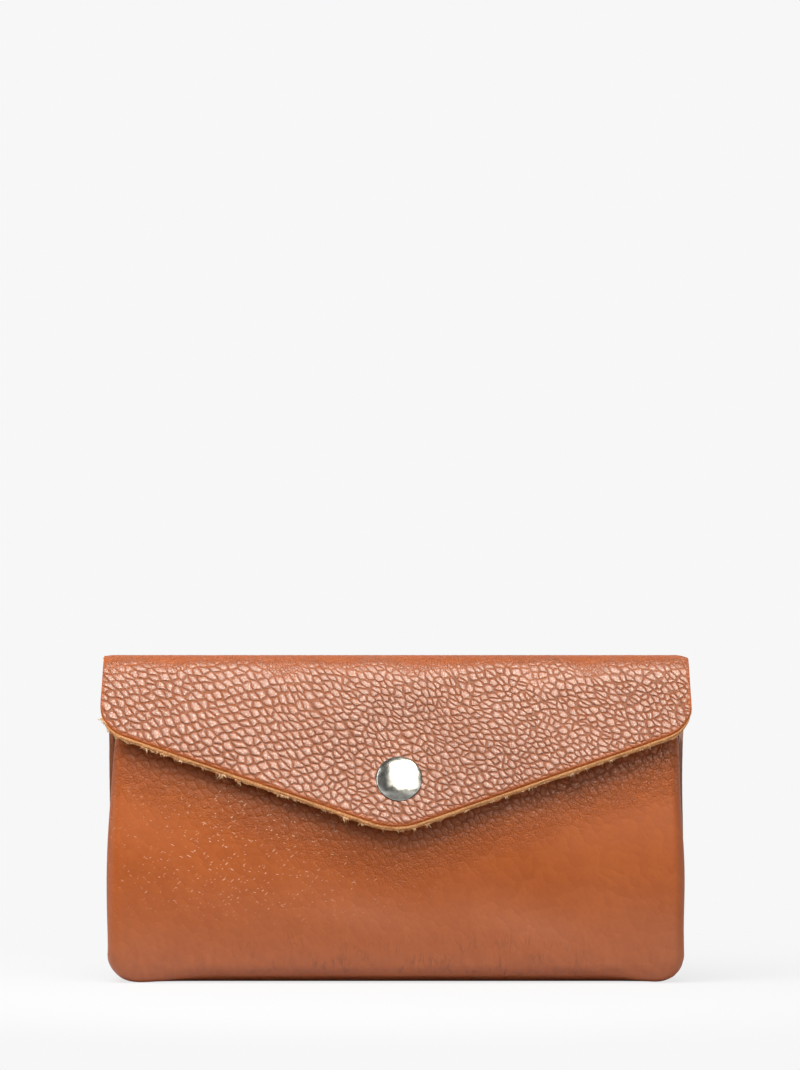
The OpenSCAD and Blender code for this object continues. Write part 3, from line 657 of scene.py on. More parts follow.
def panel_section(half, turn, hem, crown_h):
    """A panel's section: x, height over the face and place across the hide, for columns of rows."""
    flat = half - side_r * np.sin(turn) - hem * np.cos(turn)
    fall = -crown_h * (np.maximum(0, np.abs(face_u) - face_flat) / (1 - face_flat)) ** 2
    a = turn * np.arange(1, turn_steps + 1) / turn_steps
    q = hem * np.arange(1, hem_steps + 1) / hem_steps
    x = np.concatenate([flat + side_r * np.sin(a), flat + side_r * np.sin(turn) + q * np.cos(turn)], axis=1)
    h = np.concatenate([side_r * np.cos(a), side_r * np.cos(turn) - q * np.sin(turn)], axis=1)
    h = h - crown_h - side_r
    s = np.concatenate([flat + side_r * a, flat + side_r * turn + q], axis=1)
    x = np.concatenate([-x[:, ::-1], flat * face_u, x], axis=1)
    h = np.concatenate([h[:, ::-1], fall, h], axis=1)
    s = np.concatenate([-s[:, ::-1], flat * face_u, s], axis=1)
    return x, h, s


# Base panel: the middle of the cut, bent up all round into a shallow boat. Its sole is what the wallet
# stands on, arched a little at the front, and its bends carry on into the front and the back.
def pucker(s, z):
    """Small upright wrinkles where the leather is gathered round the bottom bend, in millimetres."""
    share = smooth_step(z, 0.5, 3.0) * (1 - smooth_step(z, 5.0, 16.0))
    return 0.15 * share * (ripple(s, 0.3 * z, 2.6, 21) + 0.4 * ripple(s, 0.2 * z, 6.5, 22))


def low_gloss(z):
    """Share of the clear finish left on the smooth leather, thicker towards the sole."""
    return 0.38 - 0.36 * smooth_step(z, -2, 42)


def gathered(points):
    """Share of the small upright creases, most of them low in the middle."""
    low = smooth_step(points[..., 2], 0.5, 3.0) * (1 - smooth_step(points[..., 2], 4, 24))
    return low * (1 - 0.8 * smooth_step(np.abs(points[..., 0] - 5), 35, 75))


wall_steps = 8
sole_rows = 8
bend_rows = 14
sole_lift = 1.9
smooth_relief = 0.06
rise = edge_r * (1 - np.cos(np.linspace(0, math.pi / 2, bend_rows + 1)))
rise = np.concatenate([rise, [edge_r + grain_step]])[:, None]
half, upright, no_hem = half_width(rise), np.full_like(rise, math.pi / 2), 0 * rise
keep = slice(hem_steps, -hem_steps)
x, h_front, s = (grid[:, keep] for grid in panel_section(half, upright, no_hem, front_crown(rise)))
h_back = panel_section(half, upright, no_hem, back_crown(rise))[1][:, keep]
y_front = -front_depth(rise) - h_front
y_back = (back_depth(rise) + h_back)[:, ::-1]
between = (np.arange(1, wall_steps) / wall_steps)[None, :]
wall_y = y_front[:, -1:] + (y_back[:, :1] - y_front[:, -1:]) * between
wall_x = np.repeat(x[:, -1:], wall_steps - 1, axis=1)
ring_x = np.concatenate([x, wall_x, x[:, ::-1], -wall_x], axis=1)
ring_y = np.concatenate([y_front, wall_y, y_back, wall_y[:, ::-1]], axis=1)
ring_t = np.where(ring_y < 0, along_front(rise), along_back(rise))
wall_s = s[:, -1:] + (wall_y - y_front[:, -1:])
ring_s = np.concatenate([s, wall_s, s[:, ::-1], -wall_s[:, ::-1]], axis=1)
shares = np.linspace(0, 1, sole_rows + 1)[:-1, None]
boat_x = np.concatenate([np.repeat(ring_x[:1], sole_rows, axis=0), ring_x])
boat_y = np.concatenate([shares * ring_y[:1], ring_y])
boat_z = np.concatenate([np.zeros((sole_rows, 1)), rise]) + 0 * boat_x
boat_t = np.concatenate([shares * ring_y[:1], ring_t])
boat_s = np.concatenate([np.repeat(ring_s[:1], sole_rows, axis=0), ring_s])
arch = smooth_step(boat_x, -84, -58) * (1 - smooth_step(boat_x, 66, 88))
reach = np.clip(-boat_y / sole_half, 0, 1) ** 2
lift = sole_lift * arch * reach * (1 - smooth_step(boat_z, 0.5, edge_r))
boat = np.stack([boat_x, boat_y, boat_z + lift], axis=-1)
outward = grid_normals(boat, closed=True)
outward[:sole_rows] = (0, 0, -1)
boat = boat + outward * pucker(boat_s, boat_z)[..., None]
boat, outward = boat[:-1], outward[:-1]
hide = np.stack([boat_s, boat_t], axis=-1)[:-1]
relief = smooth_relief * smooth_step(boat[..., 2], 0.3, 4.0)
base = leather_mesh("base_leather", boat, outward, boat - leather_t * outward, hide, relief, closed=True,
                    gloss=low_gloss(boat[..., 2]), wrinkle=gathered(boat))
shape = bmesh.new()
shape.from_mesh(base.data)
bmesh.ops.remove_doubles(shape, verts=shape.verts, dist=1e-7)
shape.to_mesh(base.data)
shape.free()
finish_leather(base, grain_side)
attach(base, "case")
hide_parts("base_panel")


# Front panel: the end of the cut that stands under the flap. Its sides are turned back in a soft
# round and hemmed.
def panel_slope(depth, z):
    """How fast a panel's depth grows with height, from the top of the base bend up."""
    step = 0.1
    return (depth(z + step) - depth(z - step)) / (2 * step) * smooth_step(z, edge_r, 3 * edge_r)


wave_h, wave_l = 0.3, 42.0
rows = int((front_h - edge_r) / grain_step)
z = np.concatenate([[edge_r - grain_step], np.linspace(edge_r, front_h, rows)])[:, None]
upright = np.full_like(z, math.pi / 2)
x, h, s = panel_section(front_half(z), upright, np.full_like(z, hem_l), front_crown(z))
slope = panel_slope(front_depth, z)
lean = np.hypot(1, slope)
t = along_front(z) + 0 * x
front = np.stack([x, -front_depth(z) - h / lean, z - h * slope / lean], axis=-1)
outward = grid_normals(front)
sway = pucker(s, z) + wave_h * smooth_step(z, edge_r, 4 * edge_r) * ripple(s, t, wave_l, 5)
front = front + outward * sway[..., None]
outward = grid_normals(front)
front, outward, hide = front[1:], outward[1:], np.stack([s, t], axis=-1)[1:]
x, z = front[..., 0], front[..., 2]
under_flap = smooth_step(z - 24 - 0.33 * np.abs(x), 0, 24)
relief = smooth_relief + 0.52 * under_flap
# A patch of painted glints: pale streaks on the front's lit upper left, below the flap.
fleck = np.exp(-(((x + 45) / 42) ** 2)) * smooth_step(z, 14, 36) * (1 - smooth_step(z, 60, 70))
gloss = low_gloss(z) + 0.12 * under_flap**2
gloss = np.maximum(gloss, 0.3 * smooth_step(np.abs(x) - front_half(z), -3.0, -1.0))
panel = leather_mesh("front_leather", front, outward, front - leather_t * outward, hide, relief,
                     gloss=gloss, fleck=fleck, wrinkle=gathered(front))
finish_leather(panel, grain_side)
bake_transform(panel)
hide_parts("front_panel")


# Back panel: it rises behind the pocket, its turned sides open out flat, and it runs into the first
# half of the fold over the top. The ends of the fold sag a little, more so at the right.
def fold_droop(x):
    """How far the ends of the fold sag, in millimetres."""
    right = 1.1 * smooth_step(x, fold_half - 5, fold_half + 1) ** 2
    return right + 0.3 * smooth_step(-x, fold_half - 4, fold_half) ** 2


fold_mid = math.radians(79)
unroll_l = 21.0
open_turn = math.radians(10)
back_step = 0.8
fold_steps = 22
rows = int((fold_z - edge_r) / back_step)
z = np.concatenate([[edge_r - grain_step], np.linspace(edge_r, fold_z, rows)])[:, None]
bend = np.linspace(0, fold_mid, fold_steps)[1:]
bend = np.append(bend, 2 * bend[-1] - bend[-2])[:, None]
slope = panel_slope(back_depth, z)
lean = np.hypot(1, slope)
path_y = np.concatenate([back_depth(z), fold_y + fold_r * np.cos(bend)])
path_z = np.concatenate([z, fold_z + fold_r * np.sin(bend)])
out_y = np.concatenate([1 / lean, np.cos(bend)])
out_z = np.concatenate([-slope / lean, np.sin(bend)])
flat_share = (1 - np.cos(math.pi * np.clip((z - fold_z + unroll_l) / unroll_l, 0, 1))) / 2
turn = math.pi / 2 - (math.pi / 2 - open_turn) * flat_share
turn = np.maximum(np.concatenate([turn, open_turn * (1 - bend / fold_mid)]), 0)
half = half_width(z) + (fold_half - half_width(z)) * flat_share
half = np.concatenate([half, np.full_like(bend, fold_half)])
crown_h = np.concatenate([back_crown(z), 0 * bend])
x, h, s = panel_section(half, turn, np.full_like(turn, hem_l), crown_h)
t = np.concatenate([along_back(z), along_back(fold_z) + fold_r * bend]) + 0 * x
back = np.stack([x, path_y + h * out_y, path_z + h * out_z], axis=-1)[:, ::-1]
hide = np.stack([s, t], axis=-1)[:, ::-1]
outward = grid_normals(back)
level = np.concatenate([z, 0 * bend])
sway = wave_h * smooth_step(level, edge_r, 4 * edge_r) * ripple(hide[..., 0], hide[..., 1], wave_l, 6)
sway = sway * (1 - smooth_step(level, fold_z - 30, fold_z - 5))
back = back + outward * sway[..., None]
back[..., 2] -= fold_droop(back[..., 0]) * smooth_step(back[..., 2], fold_z - 6, fold_z + 0.9 * fold_r)
back, outward, hide = back[1:-1], outward[1:-1], hide[1:-1]
bent = smooth_step(back[..., 2], fold_z - 16, fold_z - 4)
turned = smooth_step(np.abs(back[..., 0]), body_half - 6, body_half - 2)
relief = 0.7 - np.maximum(0.6 * turned, 0.45 * bent)
rear = leather_mesh("back_leather", back, outward, back - leather_t * outward, hide, relief,
                    raw_above=fold_z - 12, gloss=0.6 - 0.35 * bent)
finish_leather(rear, grain_side)
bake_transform(rear)
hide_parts("back_panel")

# Flap: the rest of the fold and the pointed tongue, cut with a slanting knife and left raw, so that a
# pale, rough edge shows under the grain. It hangs clear of the front by the height of the press stud.
top_z = fold_z + fold_r
flap_half = (flap_high / MM).x
flap_drop, shoulder_drop, snap_drop = 57.0, 24.4, 40.0
flap_corner_r, flap_tip_r = 12.0, 24.0
flap_lean = math.radians(22)
cap_r, snap_gap = 7.5, 3.6
seat = cap_r + 1
snap_x = sum(corner.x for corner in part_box("snap_cap")) / 2 / MM
snap_z = top_z - snap_drop
seat_low = np.array([-front_depth(snap_z - seat), snap_z - seat])
seat_high = np.array([-front_depth(snap_z + seat), snap_z + seat])
seat_mid = (seat_low + seat_high) / 2
seat_up = (seat_high - seat_low) / np.linalg.norm(seat_high - seat_low)
seat_out = np.array([-seat_up[1], seat_up[0]])
flap_seat = seat_mid + (snap_gap + leather_t) * seat_out
fold_end_a = math.pi - flap_lean
fold_end = np.array([fold_y + fold_r * math.cos(fold_end_a), fold_z + fold_r * math.sin(fold_end_a)])
sweep_end = flap_seat + seat * seat_up
pull = np.linalg.norm(sweep_end - fold_end) / 3
lead_in = 0.1
arc = np.linspace(fold_mid - lead_in, fold_end_a, 80)[:, None]
arc = np.array([fold_y, fold_z]) + fold_r * np.concatenate([np.cos(arc), np.sin(arc)], axis=1)
q = np.linspace(0, 1, 81)[1:, None]
leave = fold_end + pull * np.array([-math.sin(flap_lean), -math.cos(flap_lean)])
land = sweep_end + pull * seat_up
sweep = (1 - q) ** 3 * fold_end + 3 * q * (1 - q) ** 2 * leave
sweep = sweep + 3 * q * q * (1 - q) * land + q**3 * sweep_end
straight = sweep_end - np.linspace(0, flap_drop, 120)[1:, None] * seat_up
profile = np.concatenate([arc, sweep, straight])
profile_run = path_length(profile[:, 0], profile[:, 1]) - lead_in * fold_r
profile_out = np.gradient(profile, profile_run, axis=0)
profile_out = np.stack([profile_out[:, 1], -profile_out[:, 0]], axis=1)
corner_z = top_z - shoulder_drop
point_z = top_z - flap_drop
edge_a = math.atan((corner_z - point_z) / flap_half)


def flap_edge(x, inset):
    """Height of the flap's cut edge at x, for an edge that is cut back by inset along the bottom."""
    x = np.abs(x)
    tip_r = flap_tip_r - inset
    tip_z = point_z + flap_tip_r / math.cos(edge_a)
    round_h = flap_corner_r - inset / math.cos(edge_a) ** 2
    round_x = flap_half - flap_corner_r
    round_z = corner_z + flap_corner_r * math.tan((math.pi / 2 - edge_a) / 2)
    tip = tip_z - np.sqrt(np.maximum(0, tip_r**2 - x**2))
    line = point_z + inset / math.cos(edge_a) + x * math.tan(edge_a)
    side = round_z - round_h * np.sqrt(np.maximum(0, 1 - (np.maximum(0, x - round_x) / flap_corner_r) ** 2))
    near_tip = x < tip_r * math.sin(edge_a)
    near_side = x > round_x + flap_corner_r * math.sin(edge_a)
    return np.where(near_tip, tip, np.where(near_side, side, line))


def flap_grid(inset, rows):
    """The flap's outer face from its cut edge up to the top of the fold, its way out and its hide place."""
    col_step = 0.6
    corner_cols = 26
    straight_half = flap_half - flap_corner_r
    inner_x = np.linspace(0, straight_half, int(straight_half / col_step))
    outer_x = straight_half + flap_corner_r * np.sin(np.linspace(0, math.pi / 2, corner_cols))[1:]
    x = np.concatenate([inner_x, outer_x])
    x = np.concatenate([-x[:0:-1], x])
    end = np.interp(-flap_edge(x, inset), -profile[:, 1], profile_run)
    start = -grain_step
    run = end + (start - end) * np.linspace(0, 1, rows)[:, None]
    y, z = (np.interp(run, profile_run, profile[:, i]) for i in (0, 1))
    out_y, out_z = (np.interp(run, profile_run, profile_out[:, i]) for i in (0, 1))
    narrow = np.clip((z - corner_z) / (top_z - corner_z), 0, 1) * (flap_half - fold_half)
    wide = x * (1 - narrow / flap_half)
    cut = along_back(fold_z) + fold_r * fold_mid + run
    return tuple(np.stack(grids, axis=-1) for grids in ((wide, y, z), (0 * wide, out_y, out_z), (wide, cut)))


knife_slant = 1.1
flap_rows = 110
roll_w, roll_h = 1.3, 0.3
flare_w, flare_h = 24, 2.0
flap_wave_h, flap_wave_l = 0.35, 36.0
cap_tilt = math.radians(7)
outer, outward, hide = flap_grid(knife_slant, flap_rows)
whole, way, _ = flap_grid(0, flap_rows)
inner = whole - leather_t * way
run = hide[..., 1] - hide[-1:, :, 1]
to_low = (run[:1] - run) * math.cos(edge_a)
to_cut = np.minimum(to_low, flap_half - np.abs(outer[..., 0]))
rolled = np.maximum(0, 1 - to_cut / roll_w) ** 2
cap_gap = np.hypot(outer[..., 0] - snap_x, outer[..., 2] - flap_seat[1])
snap_run = np.interp(-flap_seat[1], -profile[:, 1], profile_run)
tilted = math.tan(cap_tilt) * (run - snap_run) * (1 - smooth_step(cap_gap, 8, 30))
flare = flare_h * np.maximum(0, 1 - to_low / flare_w) ** 2
flare = flare * smooth_step(cap_gap, 9, 26) * smooth_step(run, 6, 26)
sway = flap_wave_h * smooth_step(run, 10, 30) * smooth_step(cap_gap, 8, 18)
sway = sway * ripple(hide[..., 0], hide[..., 1], flap_wave_l, 9) + tilted + flare
outer = outer + (sway - roll_h * rolled)[..., None] * outward
inner = inner + sway[..., None] * way
for grid in (outer, inner):
    grid[..., 2] -= fold_droop(grid[..., 0]) * (1 - smooth_step(run, 0, 12))
worn = run + 3.0 * ripple(hide[..., 0], hide[..., 1], 17.0, 12)
relief = (0.25 + 0.75 * smooth_step(worn, 7.0, 17.0)) * smooth_step(to_cut, -0.3, 2.0)
gloss = (0.25 + 0.60 * smooth_step(worn, 6.0, 14.0)) * smooth_step(to_cut, 0.3, 2.2)
outer, outward, hide, inner, relief, gloss = (
    grid[:-1] for grid in (outer, outward, hide, inner, relief, gloss))
rows, cols = relief.shape
edge = border(rows, cols)
one, other, bulge = (grid.reshape(-1, 3)[edge] for grid in (outer, inner, outward))
beside = np.concatenate([outer[1], outer[1:, -2], outer[-2, -2::-1], outer[-2:0:-1, 1]])
beside[cols - 1] = outer[1, -2]
beside[2 * cols + rows - 3] = outer[-1, 1]
away = one - beside
away = away / np.linalg.norm(away, axis=1, keepdims=True)
is_cut = np.ones(len(edge))
is_cut[cols + rows - 2:2 * cols + rows - 2] = 0
draw = np.random.default_rng(7)
rims = []
for q in (0.16, 0.34, 0.52, 0.7, 0.86):
    rough = draw.normal(0, 1, len(edge))
    rough = (rough + np.roll(rough, 1) + np.roll(rough, -1)) / 3
    swell = (0.3 + 0.75 * q * rough) * math.sin(math.pi * q)
    bead = 0.35 * math.sin(math.pi * q) * is_cut
    rims.append(one + (other - one) * q + away * (swell * is_cut)[:, None] + bulge * bead[:, None])
flap = leather_mesh("flap_leather", outer, outward, inner, hide, relief, rims, raw_above=0, gloss=gloss)
finish_leather(flap, grain_side)
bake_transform(flap)
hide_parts("flap", "flap_fold")


# Loose fibres of the flap's raw edge: short, pale ends of hide that the knife left, in tufts, more of
# them at the left and round the point.
def along_line(tree, given, mode, key):
    """Points along the line that a tree is given, by their number or by their spacing."""
    curve = add_node(tree, "GeometryNodeMeshToCurve", {0: given["Geometry"]}).outputs[0]
    inputs = {"Curve": curve, mode.title(): given[key]}
    return add_node(tree, "GeometryNodeCurveToPoints", inputs, mode=mode).outputs


def place_copies(tree, given, spots, shape, **placing):
    """Ends a tree that puts a copy of a shape on every point."""
    inputs = {"Points": spots[0], "Instance": shape, **placing}
    placed = add_node(tree, "GeometryNodeInstanceOnPoints", inputs).outputs[0]
    end_tree(tree, placed, given["Material"])


def shape_of(tree, thing):
    """The shape of an object that a tree is given."""
    return add_node(tree, "GeometryNodeObjectInfo", {"Object": thing}).outputs["Geometry"]


def facing_way(tree, way, axis):
    """The turn that points an axis along a way."""
    return add_node(tree, "FunctionNodeAlignRotationToVector", {"Vector": way}, axis=axis).outputs[0]


fibre_mesh = bpy.data.meshes.new("fibre")
fibre_rings = 4
fibre_sides = 3
fibre_r, fibre_bow, fibre_taper = 0.13, 0.25, 0.75
bow = np.linspace(0, 1, fibre_rings + 1)
ring_a = np.arange(fibre_sides) * 2 * math.pi / fibre_sides
ring = np.stack([np.cos(ring_a), np.sin(ring_a), 0 * ring_a], axis=1)
centre = np.stack([fibre_bow * bow**2, 0 * bow, bow], axis=1)
fibre_points = centre[:, None] + (fibre_r * (1 - fibre_taper * bow))[:, None, None] * ring
fibre_faces = grid_faces(fibre_rings + 1, fibre_sides, True, 0, False).tolist()
fibre_faces += [[2, 1, 0], [12, 13, 14]]
fibre_mesh.from_pydata(fibre_points.reshape(-1, 3), [], fibre_faces)
fibre = bpy.data.objects.new("fibre", fibre_mesh)

fibre_tree, given = new_tree("edge_fibres", {
    "Count": "Int", "Length": "Float", "Spread": "Float", "Seed": "Int", "Fibre": "Object",
    "Material": "Material"})
spots = along_line(fibre_tree, given, "COUNT", "Count")
inputs = {0: (-1, -1, -1), 1: (1, 1, 1), "Seed": given["Seed"]}
lean = add_node(fibre_tree, "FunctionNodeRandomValue", inputs, data_type="FLOAT_VECTOR").outputs[0]
lean = scaled(fibre_tree, lean, given["Spread"])
way = vectors(fibre_tree, "ADD", carried(fibre_tree, "away", "FLOAT_VECTOR"), lean)[0]
chance = add_node(fibre_tree, "FunctionNodeRandomValue", {"Seed": given["Seed"]}, data_type="FLOAT").outputs[1]
size = maths(fibre_tree, "MULTIPLY_ADD", maths(fibre_tree, "POWER", chance, 3.0), 0.75, 0.25)
size = maths(fibre_tree, "MULTIPLY", size, carried(fibre_tree, "tuft", "FLOAT"))
size = maths(fibre_tree, "MULTIPLY", size, given["Length"])
place_copies(fibre_tree, given, spots, shape_of(fibre_tree, given["Fibre"]),
             Rotation=facing_way(fibre_tree, way, "Z"), Scale=size)

loose_fibre = two_tone("loose_fibre", speckle(700.0, 2.0), (0.66, 0.30, 0.10, 1), (0.95, 0.66, 0.38, 1),
                       {"Roughness": 0.7})
cut_line = np.concatenate([np.arange(2 * cols + rows - 2, len(edge)), np.arange(cols + rows - 2)])
cut_points = (rims[2] + 0.5 * (rims[3] - rims[2]))[cut_line]
cut_mesh = bpy.data.meshes.new("flap_fibres")
cut_mesh.from_pydata(cut_points * MM, [(i, i + 1) for i in range(len(cut_line) - 1)], [])
tufts = 0.5 + 0.85 * ripple(cut_points[:, 0], cut_points[:, 2], 3.4, 3) - 0.3 * cut_points[:, 0] / flap_half
tufts = np.maximum(0, tufts) * smooth_step(corner_z + 14 - cut_points[:, 2], 0, 10)
mesh_attribute(cut_mesh, "away", "FLOAT_VECTOR", away[cut_line])
mesh_attribute(cut_mesh, "tuft", "FLOAT", tufts)
fibres = add_object("flap_fibres", cut_mesh)
run_tree(fibres, fibre_tree, {"Count": 4200, "Length": 1.35 * MM, "Spread": 0.8, "Seed": 11, "Fibre": fibre,
                              "Material": loose_fibre})
bpy.data.objects.remove(fibre)
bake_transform(fibres)

# Press stud cap: a pressed and polished nickel shell on the flap, domed, with a round shoulder that
# rolls down to the leather, where its last ring is painted near black as the contact shadow. It hides
# the rivet that holds the socket.
cap_h, shoulder_r = 2.3, 0.95
dome_a = math.radians(26)
dome_r = (cap_r - shoulder_r + shoulder_r * math.sin(dome_a)) / math.sin(dome_a)
shoulder_h = cap_h - (dome_r - (dome_r - shoulder_r) * math.cos(dome_a))
shoulder_end = math.acos(-shoulder_h / shoulder_r)
dome_steps, shoulder_steps, cap_steps = 24, 14, 96
painted_shade_w = 0.3


def round_points(r, h, radius, first, last, steps):
    """Points of an arc in a lathe profile: distance from the axis, and height."""
    a = np.linspace(first, last, steps)
    return np.stack([r + radius * np.sin(a), h + radius * np.cos(a)], axis=1)


def lathe(name, profile, origin, axis, steps):
    """A turned piece: a profile, from the axis out and back to it, spun round an axis that has no x."""
    turn = np.linspace(0, 2 * math.pi, steps, endpoint=False)
    side = np.stack([np.cos(turn), -axis[1] * np.sin(turn), axis[0] * np.sin(turn)], axis=1)
    r, h = profile[1:-1, :1, None], profile[1:-1, 1:, None]
    rise = np.array([0, *axis])
    rings = origin + h * rise + r * side
    poles = origin + profile[[0, -1], 1:] * rise
    points = np.concatenate([rings.reshape(-1, 3), poles])
    count = len(profile) - 2
    first, last = count * steps, (count - 1) * steps
    faces = grid_faces(count, steps, True, 0, False).tolist()
    faces += [(first, (i + 1) % steps, i) for i in range(steps)]
    faces += [(first + 1, last + i, last + (i + 1) % steps) for i in range(steps)]
    mesh = bpy.data.meshes.new(name)
    mesh.from_pydata(points * MM, [], faces)
    mesh.polygons.foreach_set("use_smooth", [True] * len(mesh.polygons))
    return add_object(name, mesh)


def metal_material(name, colour, dull, smooth, wear):
    """Plated metal: its own colour, clouds of handling, and fine scratches of one depth."""
    made, tree, shader = new_material(name)
    place = object_place(tree)
    cloud = noise(tree, place, 700.0, 5.0)[0]
    rubbed = vectors(tree, "MULTIPLY", place, (900, 900, 5200))[0]
    set_inputs(tree, shader, {
        "Base Color": mix_colour(tree, ramp(tree, cloud, 0.25, 0.7), dull, colour),
        "Roughness": maths(tree, "MULTIPLY_ADD", cloud, 0.06, smooth),
        "Metallic": 1.0,
        "Normal": bump(tree, noise(tree, rubbed, 1.0, 2.0)[0], wear * MM),
    })
    return made


polished_nickel = metal_material("polished_nickel", (0.74, 0.73, 0.68, 1), (0.44, 0.44, 0.41, 1),
                                 smooth=0.17, wear=0.003)
# rim_shade is a painted shade: a near-black surface that stands in for the contact shadow round the cap.
rim_shade = two_tone("rim_shade", speckle(900.0, 3.0), (0.03, 0.022, 0.018, 1), (0.09, 0.07, 0.055, 1),
                     {"Roughness": 0.6, "Specular IOR Level": 0.1})
cap_profile = np.concatenate([
    [[0, cap_h]],
    round_points(0, cap_h - dome_r, dome_r, dome_a / dome_steps, dome_a, dome_steps),
    round_points(cap_r - shoulder_r, shoulder_h, shoulder_r, dome_a, shoulder_end, shoulder_steps)[1:],
    [[0, 0]],
])
cap_a = math.atan2(seat_out[1], -seat_out[0]) + cap_tilt
cap_axis = np.array([-math.cos(cap_a), math.sin(cap_a)])
cap_seat = np.array([snap_x, *flap_seat])
cap = lathe("snap_cap_shell", cap_profile, cap_seat, cap_axis, cap_steps)
for material in (polished_nickel, rim_shade):
    cap.data.materials.append(material)
# The faces nearest the cap's rim take the painted contact shadow.
middles = np.array([face.center for face in cap.data.polygons]) / MM - cap_seat
from_axis = np.linalg.norm(np.cross(middles, [0, *cap_axis]), axis=1)
cap.data.polygons.foreach_set("material_index", (from_axis > cap_r - painted_shade_w).astype(int))
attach(cap, "flap")
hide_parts("snap_cap")


# The rest of the press stud: socket and spring ring behind the flap, stud and eyelet on the front.
# They are stamped brass, plated and left as the press made them.
def plate(material, *names):
    """Gives solid parts a metal surface and leaves their shape."""
    for name in names:
        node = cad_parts[name]
        node.data.materials.clear()
        node.data.materials.append(material)


stamped_nickel = metal_material("stamped_nickel", (0.70, 0.68, 0.62, 1), (0.55, 0.53, 0.47, 1),
                                smooth=0.16, wear=0.004)
plate(stamped_nickel, "snap_socket", "snap_spring", "snap_stud", "snap_eyelet")

# Gussets: thin leather folded inwards in a soft V, two a side, one for each compartment. Each is sewn to
# a panel's turned edge and to the side of the coin pocket.
inner_grain = grain_material("inner_leather", crease=(0.20, 0.05, 0.014, 1),
                             low=(0.33, 0.09, 0.027, 1), high=(0.41, 0.125, 0.04, 1))
inner_relief = 0.3
wall_t = 0.9
gusset_tip = body_half - 14.0
gusset_low = edge_r + 0.6
gusset_high = front_h - 8.0
gusset_gap = 0.25
pocket_low, pocket_high = (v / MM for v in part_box("pocket_front_wall"))
pocket_half_w = pocket_high.x
pocket_y = pocket_high.y + 0.05
pocket_half = pocket_y - pocket_low.y
pocket_foot, pocket_h = pocket_low.z, pocket_high.z
pocket_edge, pocket_taper = 1.2, 11.0
seam_x = pocket_half_w - wall_t


def soft_fold(start, bend, end, round_l, steps):
    """Points from start to end that turn softly at bend, for rows of points in plan."""
    leg_in = np.linalg.norm(bend - start, axis=1, keepdims=True)
    leg_out = np.linalg.norm(end - bend, axis=1, keepdims=True)
    leave = bend + (start - bend) * np.minimum(0.6, round_l / leg_in)
    land = bend + (end - bend) * np.minimum(0.6, round_l / leg_out)
    q = np.linspace(0, 1, steps)[None, :, None]
    first = start[:, None] + (leave - start)[:, None] * q
    turn = (1 - q) ** 2 * leave[:, None] + 2 * q * (1 - q) * bend[:, None] + q * q * land[:, None]
    last = land[:, None] + (end - land)[:, None] * q
    return np.concatenate([first, turn[:, 1:-1], last], axis=1)


def gusset(name, side, facing, hide_start):
    """One gusset: side is 1 at the right, facing is 1 behind the pocket and -1 in front of it."""
    z = np.linspace(gusset_low, gusset_high, 90)[:, None]
    if facing > 0:
        depth, crown_h, half = back_depth(z), back_crown(z), half_width(z)
    else:
        depth, crown_h, half = front_depth(z), front_crown(z), front_half(z)
    panel_y = facing * (depth - leather_t - gusset_gap - crown_h - wall_t / 2)
    seam_y = pocket_y + facing * (pocket_edge + 0.4 + wall_t / 2)
    deep_y = (panel_y + pocket_y + facing * pocket_half) / 2
    start = np.concatenate([half - side_r - gusset_gap, panel_y], axis=1)
    bend = np.concatenate([0 * z + gusset_tip + wall_t / 2, deep_y], axis=1)
    end = np.concatenate([0 * z + seam_x, 0 * z + seam_y], axis=1)
    path = soft_fold(start, bend, end, 3.0, 9)
    slope = np.gradient(path, axis=1)
    slope = slope / np.linalg.norm(slope, axis=2, keepdims=True)
    normal = np.stack([slope[..., 1], -slope[..., 0]], axis=-1) * -facing
    run = np.cumsum(np.linalg.norm(np.diff(path, axis=1, prepend=path[:, :1]), axis=2), axis=1)
    tall = z + 0 * run
    outer, inner = (np.stack([side * plan[..., 0], plan[..., 1], tall], axis=-1)
                    for plan in (path + normal * wall_t / 2, path - normal * wall_t / 2))
    way = np.stack([side * normal[..., 0], normal[..., 1], 0 * run], axis=-1)
    hide = np.stack([run + hide_start, tall], axis=-1)
    if side * facing > 0:
        outer, inner, way, hide = (grid[:, ::-1] for grid in (outer, inner, way, hide))
    piece = leather_mesh(name, outer, way, inner, hide, inner_relief + 0 * run)
    finish_leather(piece, inner_grain)
    if facing > 0:
        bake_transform(piece)
    else:
        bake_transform(piece)
    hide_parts(name[:-8])


for word, side in (("right", 1), ("left", -1)):
    gusset("gusset_rear_%s_leather" % word, side, 1, 300 + 60 * side)
    gusset("gusset_front_%s_leather" % word, side, -1, 500 + 60 * side)


# Coin pocket: two walls of the same thin leather, sewn together at the sides and the bottom, so that
# they swell apart between the seams and stay open under the zip.
def pocket_swell(x, z):
    """Half the thickness of the pocket."""
    deep = np.minimum(pocket_half_w - np.abs(x), z - pocket_foot)
    return pocket_edge + (pocket_half - pocket_edge) * smooth_step(deep, 0, pocket_taper)


